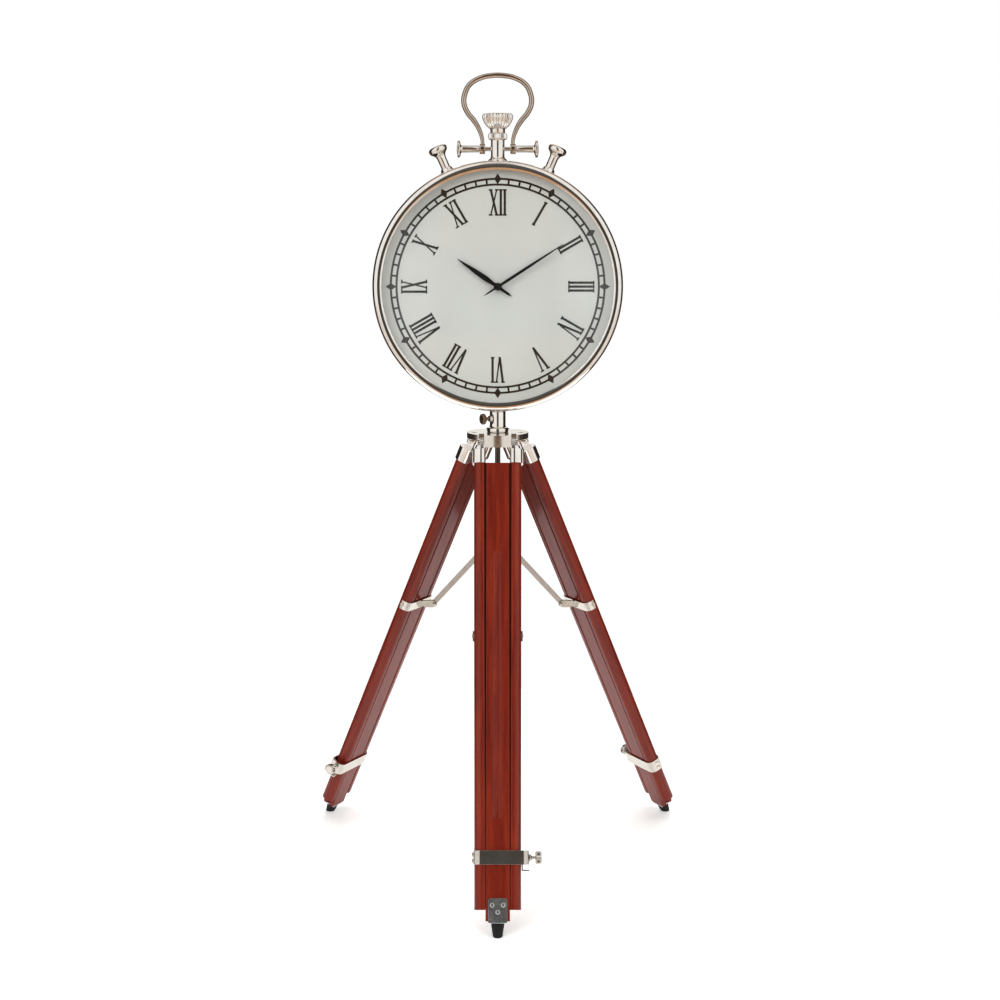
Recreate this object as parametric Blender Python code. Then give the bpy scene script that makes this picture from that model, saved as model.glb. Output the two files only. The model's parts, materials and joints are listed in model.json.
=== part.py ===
"""Tripod floor clock: a pocket-watch shaped clock head on a folding wooden tripod.

Units are metres and +Z is up. The dial faces -Y. The origin lies on the floor, in the
middle of the footprint, so the pole stands a little behind it.
A leg's own frame has its origin on the leg's hinge, -Z down the leg, -Y outwards and X
along the hinge bolt, so a place on a leg is (across, -outwards, -distance from the hinge).
"""
import math

import bmesh
import bpy
from mathutils import Matrix, Vector

for item in list(bpy.data.objects):
    bpy.data.objects.remove(item, do_unlink=True)

# Clearances and facets
gap = 0.0003
overrun = 0.004
weld_distance = 0.00001
case_facets = 48
small_facets = 16
pin_facets = 12
nut_facets = 18
corner_facets = 3
sharp_angle = math.radians(35)

# Tripod stance
leg_count = 3
leg_lean = math.radians(24.3)
hinge_radius = 0.0307
hinge_height = 0.6163
leg_reach = hinge_height / math.cos(leg_lean)
sole_radius = hinge_radius + leg_reach * math.sin(leg_lean)

# Tripod head
head_radius = 0.0451
head_thickness = 0.0077
head_rise = 0.0122
head_top = hinge_height + head_rise
lug_half_width = 0.0192
lug_root = 0.014
lug_height = 0.017
notch_width = 0.0078
notch_root = 0.0222
head_bore = 0.0098

# Hinge bolts
bolt_radius = 0.0028
nut_radius = 0.0040
nut_base_length = 0.0038
nut_dome_length = 0.0034
bolt_bore = bolt_radius + gap

# Wooden rails
rail_width = 0.0145
rail_thickness = 0.0194
rail_corner = 0.008
rail_offset_top = 0.02685
centre_rail_width = 0.0323
centre_rail_thickness = rail_thickness - 2 * gap
rail_offset_foot = centre_rail_width / 2 + gap + rail_width / 2
tongue_thickness = 0.004
tongue_reach = 0.0056
groove_depth = tongue_reach
flute_radius = 0.0032
flute_spacing = 0.0066
flute_depth = 0.0016
flute_top = 0.153
flute_taper = 0.0128
flute_foot_margin = 0.1233

# Caps on the outer rails
cap_wall = 0.002
cap_top = 0.0112
cap_length = 0.021
cap_lid = 0.002
ear_thickness = 0.005
ear_radius = 0.0065
ear_offset = 0.02

# Foot of the leg
foot_height = 0.0165
foot_top_radius = 0.009
foot_sole_radius = 0.0064
foot_plate_width = 0.025
foot_plate_length = 0.031
foot_plate_thickness = 0.0018
foot_plate_corner = 0.0028
foot_screw_radius = 0.0030
foot_screw_height = 0.0009
foot_screw_spread = 0.0073
foot_screw_top = 0.0085
foot_screw_low = 0.0175
rail_overhang = 0.0143
centre_rail_top = cap_top + cap_length
centre_rail_end = leg_reach - foot_height - foot_plate_thickness - 2 * gap
outer_rail_end = centre_rail_end - rail_overhang
flute_low = centre_rail_end - flute_foot_margin

# Ankle clamp and its thumb screw
clamp_height = 0.018
clamp_above_end = 0.0575
clamp_strip = 0.0016
clamp_pocket = 0.007
clamp_end_wall = 0.0035
clamp_screw_spread = 0.004
clamp_tab_depth = 0.008
clamp_tab_width = 0.008
screw_shank_radius = 0.0022
screw_pad_radius = 0.0042
screw_pad_length = 0.0018
screw_collar_radius = 0.0048
screw_collar_length = 0.003
screw_neck_length = 0.0048
thumb_radius = 0.0084
thumb_length = 0.0084
thumb_lobes = 10
thumb_lobe_depth = 0.0011
thumb_rim = 0.0014

# Brace clamp, strut and hub
brace_distance = 0.280
brace_width = 0.014
brace_strip = 0.0016
brace_tab_reach = 0.0025
pivot_rise = 0.0125
pivot_standoff = 0.0215
hub_drop = 0.1563
hub_height = hinge_height - hub_drop
hub_pin_radius = 0.016
strut_width = 0.008
strut_thickness = 0.0025
strut_eye_radius = 0.0048
cheek_thickness = 0.0018
cheek_radius = 0.0055
cheek_arc_start = -60
cheek_arc_end = 120
pivot_pin_radius = 0.002
pivot_head_radius = 0.0036
pivot_head_length = 0.0022
hub_radius = 0.0205
hub_core_radius = 0.0066
hub_thickness = 0.016
hub_slot_width = strut_thickness + 6 * gap
hub_button_radius = 0.012
hub_button_height = 0.003

# Socket on the tripod head
socket_radius = 0.0116
socket_bore = 0.0086
socket_height = 0.030
socket_floor = 0.002
socket_ring_radius = 0.0158
socket_ring_height = 0.0065
rod_radius = 0.004
rod_overlap = 0.025
rod_end_height = hub_height - rod_overlap
socket_spigot_depth = 0.0065
socket_screw_drop = 0.0103
socket_screw_turn = math.radians(30)
socket_boss_radius = 0.0045
socket_boss_length = 0.003
socket_shank_radius = 0.0024
socket_thumb_radius = 0.0080
socket_thumb_length = 0.006
socket_thumb_rim = 0.001
socket_thumb_distance = 0.0215

# Clock case
case_radius = 0.1755
case_wall = 0.0022
case_depth = 0.052
ledge_width = 0.0093
ledge_radius = case_radius - case_wall - ledge_width
ledge_thickness = 0.004
ledge_depth = 0.0118
ledge_front = case_depth / 2 - ledge_depth
bezel_overhang = 0.0032
bezel_radius = case_radius + bezel_overhang
bezel_outer_width = 0.008
bezel_inner_width = 0.0052
bezel_crest_radius = bezel_radius - bezel_outer_width
bezel_opening_radius = bezel_crest_radius - bezel_inner_width
bezel_skirt = 0.0018
bezel_rise = 0.011
bezel_front = case_depth / 2 + bezel_rise
bezel_lip_depth = 0.0058
bezel_lip_back = bezel_front - bezel_lip_depth
glass_thickness = 0.0027
glass_ring_width = 0.0051
dial_thickness = 0.0015
collar_shoulder_share = 0.45

# Movement, battery and hands
movement_width = 0.056
movement_depth = 0.0155
movement_corner = 0.004
neck_radius = 0.004
neck_height = 0.0042
dial_nut_radius = 0.0058
dial_nut_height = 0.002
battery_radius = 0.0071
battery_length = 0.0485
battery_nub_radius = 0.0026
battery_nub_length = 0.0015
battery_drop = 0.014
set_knob_radius = 0.0075
set_knob_height = 0.005
set_knob_rise = 0.013
set_knob_ribs = 12
set_knob_rib_depth = 0.0005
arbor_radius = 0.0015
hour_hub_radius = 0.0048
hour_hub_height = 0.0024
minute_hub_radius = 0.0042
minute_hub_height = 0.003
hand_thickness = 0.0009
hour_hand_length = 0.069
hour_hand_width = 0.0078
minute_hand_length = 0.111
minute_hand_width = 0.0042
hand_tail_length = 0.025
hour_angle = math.radians(304.5)
minute_angle = math.radians(57)

# Back of the case
cover_spigot_depth = 0.006
cover_thickness = 0.0016
cover_bulge = 0.007
cover_shoulder_width = 0.0155
cover_shoulder_radius = case_radius - cover_shoulder_width
door_radius = 0.050
door_clearance = 0.0006
door_thickness = 0.0016
door_flange_width = 0.004
door_hinge_offset = 0.0545
knuckle_radius = 0.0026
knuckle_length = 0.008
knuckle_pin_radius = 0.0011
door_pull_radius = 0.005
door_pull_height = 0.006

# Crown, bow and pushers
stem_flange_radius = 0.0139
stem_flange_height = 0.0085
stem_radius = 0.0098
collar_radius = 0.0137
collar_rise = 0.033
collar_bottom = case_radius + collar_rise
collar_height = 0.0093
collar_ribs = 18
collar_rib_depth = 0.0007
crown_neck_length = 0.0075
crown_neck_radius = 0.0107
crown_radius = 0.0226
crown_height = 0.0206
crown_flutes = 24
crown_flute_depth = 0.0013
bar_rise = 0.0204
bar_height = case_radius + bar_rise
bar_radius = 0.0032
sleeve_radius = 0.0050
sleeve_start = 0.0267
sleeve_flange_radius = 0.0122
sleeve_flange_thickness = 0.0058
bar_half_length = 0.0585
bow_foot_offset = 0.0219
bow_half_width = 0.0485
bow_height = 0.1040
bow_rod_radius = 0.0034
bow_foot_rod_radius = 0.0018
bow_eye_radius = 0.0073
bow_eye_width = 0.0078
bow_rod_sides = 8
bow_steps = 3
pusher_angle = math.radians(23.7)
pusher_flange_radius = 0.0102
pusher_flange_height = 0.0088
pusher_stem_radius = 0.0065
pusher_cap_radius = 0.0136
pusher_cap_height = 0.0108
pusher_cap_rise = 0.032
pusher_cap_base = case_radius + pusher_cap_rise
pusher_flare_rise = 0.0255
pusher_flare_base = case_radius + pusher_flare_rise
pusher_seat = 0.0035
pusher_travel = 0.003
case_stem_radius = socket_bore - gap
case_stem_flange_radius = 0.0128
case_stem_flange_length = 0.0055


# Shaping helpers
def make_material(name, colour, roughness, metallic=0.0, alpha=1.0):
    """Return a Principled material."""
    material = bpy.data.materials.new(name)
    material.use_nodes = True
    shader = material.node_tree.nodes["Principled BSDF"]
    shader.inputs["Base Color"].default_value = (*colour, 1)
    shader.inputs["Roughness"].default_value = roughness
    shader.inputs["Metallic"].default_value = metallic
    shader.inputs["Alpha"].default_value = alpha
    return material


def finish(bm, name, material, smooth=True):
    """Turn a bmesh into a named object with outward faces."""
    bmesh.ops.remove_doubles(bm, verts=bm.verts, dist=weld_distance)
    bmesh.ops.recalc_face_normals(bm, faces=bm.faces)
    mesh = bpy.data.meshes.new(name)
    bm.to_mesh(mesh)
    bm.free()
    mesh.materials.append(material)
    if smooth:
        mesh.shade_smooth()
        mesh.set_sharp_from_angle(angle=sharp_angle)
    piece = bpy.data.objects.new(name, mesh)
    bpy.context.collection.objects.link(piece)
    return piece


def prism(name, outline, low, high, axis, material, smooth=False):
    """Extrude a closed outline along X, Y or Z, from low to high."""
    place = {
        "X": lambda a, b: (low, a, b),
        "Y": lambda a, b: (a, low, b),
        "Z": lambda a, b: (a, b, low),
    }[axis]
    bm = bmesh.new()
    face = bm.faces.new([bm.verts.new(place(a, b)) for a, b in outline])
    made = bmesh.ops.extrude_face_region(bm, geom=[face])
    rim = [v for v in made["geom"] if isinstance(v, bmesh.types.BMVert)]
    step = Vector([high - low if letter == axis else 0 for letter in "XYZ"])
    bmesh.ops.translate(bm, verts=rim, vec=step)
    return finish(bm, name, material, smooth)


def turned(name, profile, material, facets=small_facets, lobes=0, lobe_depth=0, lobe_from=0):
    """Turn a profile of (radius, height) about Z; lobes draw every other rib in."""
    bm = bmesh.new()
    steps = 2 * lobes if lobes else facets
    ring = [bm.verts.new((radius, 0, height)) for radius, height in profile]
    edges = [bm.edges.new(pair) for pair in zip(ring, ring[1:])]
    if min(profile[0][0], profile[-1][0]) > 0:
        edges.append(bm.edges.new((ring[-1], ring[0])))
    bmesh.ops.spin(bm, geom=ring + edges, axis=(0, 0, 1), cent=(0, 0, 0),
                   steps=steps, angle=2 * math.pi, use_merge=True)
    if lobes:
        for vert in bm.verts:
            radius = math.hypot(vert.co.x, vert.co.y)
            turn = round(math.atan2(vert.co.y, vert.co.x) * lobes / math.pi)
            if turn % 2 and radius > lobe_from:
                vert.co.xy *= (radius - lobe_depth) / radius
    return finish(bm, name, material)


def block(name, low, high, material):
    """Return a box between two corners."""
    outline = [(low[0], low[1]), (high[0], low[1]), (high[0], high[1]), (low[0], high[1])]
    return prism(name, outline, low[2], high[2], "Z", material)


def turn_mesh(piece, angle, axis, shift=(0, 0, 0)):
    """Turn and then shift a piece's mesh in its own frame."""
    piece.data.transform(Matrix.Translation(shift) @ Matrix.Rotation(angle, 4, axis))
    return piece


def to_front(piece, shift=(0, 0, 0)):
    """Point a turned piece's +Z out of the dial, along -Y."""
    return turn_mesh(piece, math.pi / 2, "X", shift)


def to_side(piece, shift=(0, 0, 0)):
    """Point a turned piece's +Z along +X."""
    return turn_mesh(piece, math.pi / 2, "Y", shift)


def combine(piece, tool, operation):
    """Join, cut or intersect a piece with a tool, which is used up."""
    modifier = piece.modifiers.new("Combine", "BOOLEAN")
    modifier.operation = operation
    modifier.solver = "EXACT"
    modifier.object = tool
    bpy.context.view_layer.update()
    result = piece.evaluated_get(bpy.context.evaluated_depsgraph_get())
    mesh = bpy.data.meshes.new_from_object(result)
    piece.modifiers.clear()
    piece.data = mesh
    mesh.name = piece.name
    bm = bmesh.new()
    bm.from_mesh(mesh)
    bmesh.ops.remove_doubles(bm, verts=bm.verts, dist=weld_distance)
    bmesh.ops.dissolve_degenerate(bm, dist=weld_distance, edges=bm.edges)
    bm.to_mesh(mesh)
    bm.free()
    bpy.data.objects.remove(tool, do_unlink=True)
    return piece


def join(piece, tool):
    """Fuse a tool's shape into a piece."""
    return combine(piece, tool, "UNION")


def cut(piece, tool):
    """Cut a tool's shape out of a piece."""
    return combine(piece, tool, "DIFFERENCE")


def arc(centre, radius, start, end, steps=corner_facets):
    """Return points along an arc, both ends included, angles in degrees."""
    angles = [math.radians(start + (end - start) * i / steps) for i in range(steps + 1)]
    return [(centre[0] + radius * math.cos(a), centre[1] + radius * math.sin(a)) for a in angles]


def rounded_outline(left, right, low, high, left_corner, right_corner):
    """Return a rectangle's outline whose left and right corners are rounded."""
    outline = []
    outline += arc((left + left_corner, low + left_corner), left_corner, 180, 270)
    outline += arc((right - right_corner, low + right_corner), right_corner, 270, 360)
    outline += arc((right - right_corner, high - right_corner), right_corner, 0, 90)
    outline += arc((left + left_corner, high - left_corner), left_corner, 90, 180)
    return outline


def frame(name, parent=None, location=(0, 0, 0), rotation=(0, 0, 0)):
    """Return an empty that carries pieces."""
    empty = bpy.data.objects.new(name, None)
    bpy.context.collection.objects.link(empty)
    empty.parent = parent
    empty.location = location
    empty.rotation_euler = rotation
    return empty


def carry(parent, *pieces):
    """Parent pieces to a frame."""
    for piece in pieces:
        piece.parent = parent


# Materials
nickel = make_material("polished_nickel", (0.72, 0.68, 0.63), 0.12, 1)
dark_steel = make_material("dark_steel", (0.22, 0.22, 0.22), 0.3, 1)
bronze = make_material("dark_bronze", (0.16, 0.13, 0.10), 0.35, 1)
red_wood = make_material("lacquered_red_wood", (0.22, 0.022, 0.009), 0.25)
dial_paint = make_material("dial_paint", (0.58, 0.59, 0.56), 0.5)
hand_paint = make_material("hand_paint", (0.01, 0.01, 0.01), 0.35)
clear_glass = make_material("clear_glass", (0.95, 0.97, 0.97), 0.03, 0, 0.2)
rubber = make_material("black_rubber", (0.02, 0.02, 0.02), 0.7)
movement_plastic = make_material("movement_plastic", (0.03, 0.03, 0.035), 0.5)
battery_sleeve = make_material("battery_sleeve", (0.55, 0.42, 0.12), 0.35, 0.6)


# Tripod head: plate, three lugs and the socket
def tripod_head():
    """Thick plate, undercut between its three lugs and notched at each side of a lug."""
    low = head_top - head_thickness
    lug_low = head_top - lug_height
    disc = [(0, lug_low), (head_radius, lug_low), (head_radius, head_top), (0, head_top)]
    head = turned("tripod_head", disc, nickel, case_facets)
    reach = head_radius + overrun
    below = lug_low - overrun
    under = turned("under", [(0, below), (reach, below), (reach, low), (0, low)], nickel)
    for number in range(leg_count):
        turn = 2 * math.pi * number / leg_count
        lug = block("lug", (-lug_half_width, -reach - overrun, lug_low - 2 * overrun),
                    (lug_half_width, -lug_root, low + overrun), nickel)
        cut(under, turn_mesh(lug, turn, "Z"))
        for side in (-1, 1):
            edges = sorted((side * (lug_half_width + gap), side * (lug_half_width + notch_width)))
            notch = block("notch", (edges[0], -reach, below),
                          (edges[1], -notch_root, head_top + overrun), nickel)
            cut(head, turn_mesh(notch, turn, "Z"))
    cut(head, under)
    half = lug_half_width + notch_width / 2
    for number in range(leg_count):
        hole = turned("hole", [(0, -half), (bolt_bore, -half), (bolt_bore, half), (0, half)], nickel)
        to_side(hole, (0, -hinge_radius, hinge_height))
        cut(head, turn_mesh(hole, 2 * math.pi * number / leg_count, "Z"))
    above = head_top + overrun
    bore = turned("bore", [(0, below), (head_bore, below), (head_bore, above), (0, above)], nickel)
    return cut(head, bore)


socket_base = head_top + gap
socket_top = socket_base + socket_height
socket_screw_height = socket_top - socket_screw_drop
dial_centre_height = socket_top + gap + case_stem_flange_length + gap + case_radius


def at_socket_screw(piece):
    """Point a piece turned along +X out of the socket, front left of the pole."""
    return turn_mesh(piece, math.pi + socket_screw_turn, "Z", (0, 0, socket_screw_height))


def socket_tube():
    """Tube that takes the clock's stem, with a ring at its foot and the hub's guide rod below."""
    ring = socket_base + socket_ring_height
    spigot = socket_base - socket_spigot_depth
    profile = [(0, rod_end_height), (rod_radius, rod_end_height), (rod_radius, spigot),
               (head_bore - gap, spigot), (head_bore - gap, socket_base),
               (socket_ring_radius, socket_base), (socket_ring_radius, ring),
               (socket_radius, ring), (socket_radius, socket_top),
               (socket_bore, socket_top), (socket_bore, socket_base + socket_floor),
               (0, socket_base + socket_floor)]
    tube = turned("socket_tube", profile, nickel, 2 * small_facets)
    root = (socket_radius + socket_bore) / 2
    end = socket_radius + socket_boss_length
    boss = turned("boss", [(0, root), (socket_boss_radius, root), (socket_boss_radius, end), (0, end)],
                  nickel)
    join(tube, at_socket_screw(to_side(boss)))
    radius = socket_shank_radius + gap
    end += overrun
    hole = turned("hole", [(0, 0), (radius, 0), (radius, end), (0, end)], nickel)
    return cut(tube, at_socket_screw(to_side(hole)))


def thumb_screw(name, start, pad, shank_radius, collar, thumb_start, thumb_end, radius, rim, material):
    """Thumb screw along X: tip pad, shank, collar and lobed knob."""
    profile = [(0, start)]
    if pad:
        profile += [(screw_pad_radius, start), (screw_pad_radius, start + pad), (shank_radius, start + pad)]
    else:
        profile += [(shank_radius, start)]
    if collar:
        profile += [(shank_radius, collar), (screw_collar_radius, collar),
                    (screw_collar_radius, collar + screw_collar_length / 2),
                    (shank_radius, collar + screw_collar_length)]
    profile += [(shank_radius, thumb_start), (radius - rim, thumb_start), (radius, thumb_start + rim),
                (radius, thumb_end - rim), (radius - rim, thumb_end), (0, thumb_end)]
    screw = turned(name, profile, material, 0, thumb_lobes, thumb_lobe_depth, screw_collar_radius + gap)
    return to_side(screw)


def socket_screw():
    """Thumb screw that clamps the clock's stem."""
    screw = thumb_screw("socket_screw", case_stem_radius + gap, 0, socket_shank_radius, 0,
                        socket_thumb_distance, socket_thumb_distance + socket_thumb_length,
                        socket_thumb_radius, socket_thumb_rim, bronze)
    return turn_mesh(screw, socket_screw_turn + math.pi, "Z")


# Legs
def rail_offset(distance):
    """Return how far an outer rail's middle is from the leg's middle."""
    share = (distance - cap_top) / (outer_rail_end - cap_top)
    return rail_offset_top + (rail_offset_foot - rail_offset_top) * share


def rail_outline(side, middle, width, thickness, corner):
    """Return a rail's section: square inside, well rounded outside."""
    points = rounded_outline(-width / 2, width / 2, -thickness / 2, thickness / 2, weld_distance, corner)
    flat = [(x, y) for x, y in points if x > -width / 2 + 2 * weld_distance]
    flat += [(-width / 2, thickness / 2), (-width / 2, -thickness / 2)]
    return [(middle + side * x, y) for x, y in flat]


def leaning(name, top, end, outline_at):
    """Make a wooden bar from the outlines at its top and its end."""
    bm = bmesh.new()
    loops = []
    for distance in (top, end):
        loops.append([bm.verts.new((x, y, -distance)) for x, y in outline_at(distance)])
    bm.faces.new(loops[0])
    bm.faces.new(loops[1])
    count = len(loops[0])
    for i in range(count):
        j = (i + 1) % count
        bm.faces.new((loops[0][i], loops[0][j], loops[1][j], loops[1][i]))
    return finish(bm, name, red_wood)


def outer_rail(name, side):
    """Wooden rail that leans in from the cap to the ankle, with a tongue that guides the middle rail."""
    def rail_at(distance):
        return rail_outline(side, side * rail_offset(distance), rail_width, rail_thickness, rail_corner)

    def tongue_at(distance):
        face = rail_offset(distance) - rail_width / 2
        ends = (side * (face - tongue_reach), side * (face + tongue_thickness))
        half = tongue_thickness / 2
        return [(ends[0], -half), (ends[1], -half), (ends[1], half), (ends[0], half)]

    rail = leaning(name, cap_top + cap_lid + gap, outer_rail_end, rail_at)
    return join(rail, leaning("tongue", centre_rail_top + gap, outer_rail_end - gap, tongue_at))


def rail_cap(name, side):
    """Cast cap: a socket over the rail's top, with an ear that hangs on the hinge bolt."""
    middle = side * rail_offset(cap_top + cap_length / 2)
    inner = (rail_width + 2 * gap, rail_thickness + 2 * gap, rail_corner + gap)
    outer = (inner[0] + 2 * cap_wall, inner[1] + 2 * cap_wall, inner[2] + cap_wall)
    cap = prism(name, rail_outline(side, middle, *outer), -cap_top - cap_length, -cap_top, "Z", nickel, True)
    ear_outline = arc((0, 0), ear_radius, 0, 180, 2 * corner_facets)
    ear_outline += [(-ear_radius, -cap_top - cap_lid / 2), (ear_radius, -cap_top - cap_lid / 2)]
    sides = sorted((side * ear_offset, side * (ear_offset + ear_thickness)))
    join(cap, prism("ear", ear_outline, sides[0], sides[1], "X", nickel))
    pocket = rail_outline(side, middle, *inner)
    cut(cap, prism("pocket", pocket, -cap_top - cap_length - overrun, -cap_top - cap_lid, "Z", nickel))
    end = ear_offset + ear_thickness + overrun
    hole = turned("hole", [(0, 0), (bolt_bore, 0), (bolt_bore, end), (0, end)], nickel)
    return cut(cap, turn_mesh(hole, side * math.pi / 2, "Y"))


def hinge_bolt(name):
    """Bolt through both ears and the lug, with a domed nut at each end."""
    seat = ear_offset + ear_thickness + gap
    base = seat + nut_base_length
    half = [(bolt_radius, seat), (nut_radius, seat), (nut_radius, base)]
    dome_share = ((0.82, 0.55), (0.45, 0.9))
    half += [(nut_radius * r, base + nut_dome_length * h) for r, h in dome_share]
    half += [(0, base + nut_dome_length)]
    profile = [(r, -h) for r, h in reversed(half)] + half
    return to_side(turned(name, profile, nickel))


def centre_rail(name):
    """Sliding middle rail, grooved along both edges, with two stopped flutes down its face."""
    half = centre_rail_width / 2
    face = centre_rail_thickness / 2
    slot = tongue_thickness / 2 + gap
    root = half - groove_depth
    outline = [(half, -face), (half, -slot), (root, -slot), (root, slot), (half, slot), (half, face)]
    outline += [(-x, y) for x, y in reversed(outline)]
    rail = prism(name, outline, -centre_rail_end, -centre_rail_top, "Z", red_wood)
    for side in (-1, 1):
        profile = [(0, -flute_low), (flute_radius, -flute_low + flute_taper),
                   (flute_radius, -flute_top - flute_taper), (0, -flute_top)]
        flute = turned("flute", profile, red_wood, pin_facets)
        place = (side * flute_spacing / 2, -face - flute_radius + flute_depth, 0)
        flute.data.transform(Matrix.Translation(place))
        cut(rail, flute)
    return rail


def foot_plate(name):
    """Bent steel plate screwed on the rail's face and turned under its end."""
    face = -centre_rail_thickness / 2 - gap
    half = foot_plate_width / 2
    low = -centre_rail_end - gap - foot_plate_thickness
    top = low + foot_plate_length
    corner = foot_plate_corner
    outline = [(-half, low), (half, low)] + arc((half - corner, top - corner), corner, 0, 90)
    outline += arc((-half + corner, top - corner), corner, 90, 180)
    plate = prism(name, outline, face - foot_plate_thickness, face, "Y", dark_steel)
    under = block("under", (-half, face - foot_plate_thickness / 2, low),
                  (half, centre_rail_thickness / 2, low + foot_plate_thickness), dark_steel)
    join(plate, under)
    root = foot_plate_thickness / 2
    screw = [(0, -root), (foot_screw_radius, -root), (foot_screw_radius, foot_screw_height / 2),
             (foot_screw_radius / 2, foot_screw_height), (0, foot_screw_height)]
    for across, down in ((-foot_screw_spread, foot_screw_top), (foot_screw_spread, foot_screw_top),
                         (0, foot_screw_low)):
        place = (across, face - foot_plate_thickness, top - down)
        join(plate, to_front(turned("screw", screw, dark_steel, pin_facets), place))
    return plate


def rubber_foot(name, leg):
    """Tapered rubber foot, cut level where it stands on the floor."""
    top = -leg_reach + foot_height
    low = top - 2 * foot_height
    low_radius = 2 * foot_sole_radius - foot_top_radius
    profile = [(0, low), (low_radius, low), (foot_top_radius, top), (0, top)]
    foot = turned(name, profile, rubber, small_facets)
    floor = leg.matrix_world.inverted()
    normal = (floor.to_3x3() @ Vector((0, 0, 1))).normalized()
    bm = bmesh.new()
    bm.from_mesh(foot.data)
    made = bmesh.ops.bisect_plane(bm, geom=bm.verts[:] + bm.edges[:] + bm.faces[:],
                                  plane_co=floor.translation, plane_no=normal, clear_inner=True)
    edges = [item for item in made["geom_cut"] if isinstance(item, bmesh.types.BMEdge)]
    bmesh.ops.contextual_create(bm, geom=edges)
    bmesh.ops.recalc_face_normals(bm, faces=bm.faces)
    bm.to_mesh(foot.data)
    bm.free()
    return foot


clamp_middle = outer_rail_end - clamp_above_end - clamp_height / 2
clamp_rail_edge = rail_offset(clamp_middle) + rail_width / 2
clamp_wall_inside = clamp_rail_edge + gap + clamp_pocket
clamp_outside = clamp_wall_inside + clamp_end_wall


def ankle_clamp(name):
    """Steel band round the three rails, with an end wall for the thumb screw."""
    low, high = -clamp_middle - clamp_height / 2, -clamp_middle + clamp_height / 2
    half = rail_thickness / 2 + gap
    strip = clamp_strip
    edge = clamp_rail_edge + gap
    outline = rounded_outline(-edge - strip, clamp_outside, -half - strip, half + strip,
                              rail_corner + gap + strip, rail_corner)
    band = prism(name, outline, low, high, "Z", dark_steel)
    hollow = rounded_outline(-edge, clamp_wall_inside, -half, half, rail_corner + gap, rail_corner - strip)
    cut(band, prism("hollow", hollow, low - overrun, high + overrun, "Z", dark_steel))
    hole_radius = screw_shank_radius + gap
    hole = turned("hole", [(0, clamp_rail_edge), (hole_radius, clamp_rail_edge),
                           (hole_radius, clamp_outside + overrun), (0, clamp_outside + overrun)], dark_steel)
    cut(band, to_side(hole, (0, 0, -clamp_middle)))
    screw = [(0, -strip / 2), (foot_screw_radius, -strip / 2), (foot_screw_radius, strip / 2),
             (foot_screw_radius / 2, strip), (0, strip)]
    for rise in (-clamp_screw_spread, clamp_screw_spread):
        head = turned("screw", screw, dark_steel, pin_facets)
        join(band, turn_mesh(head, -math.pi / 2, "Y", (-edge - strip, 0, -clamp_middle + rise)))
    tab_low = low - clamp_tab_depth
    wide = clamp_tab_width / 2
    start = clamp_rail_edge + 2 * gap
    join(band, block("tab", (start, -wide, tab_low), (start + strip, wide, low + strip), dark_steel))
    join(band, block("tab_end", (start + strip / 2, -wide, tab_low), (clamp_outside, wide, tab_low + strip),
                     dark_steel))
    return join(band, block("tab_root", (start + strip / 2, -wide, low),
                            (clamp_outside - strip / 2, wide, low + strip), dark_steel))


def ankle_screw(name):
    """Thumb screw that presses on the rail's side."""
    thumb_start = clamp_outside + gap + screw_collar_length + screw_neck_length
    return thumb_screw(name, clamp_rail_edge + gap, screw_pad_length, screw_shank_radius,
                       clamp_outside + gap, thumb_start, thumb_start + thumb_length, thumb_radius,
                       thumb_rim, nickel)


# The brace pivot in a leg's own frame
pivot_distance = brace_distance - pivot_rise
pivot_inward = rail_thickness / 2 + pivot_standoff
pivot_radius_from_pole = (hinge_radius + pivot_distance * math.sin(leg_lean)
                          - pivot_inward * math.cos(leg_lean))
pivot_height = hinge_height - pivot_distance * math.cos(leg_lean) - pivot_inward * math.sin(leg_lean)
strut_rise = hub_height - pivot_height
strut_run = pivot_radius_from_pole - hub_pin_radius
strut_length = math.hypot(strut_rise, strut_run)
strut_lean = math.atan2(strut_run, strut_rise)


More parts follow.
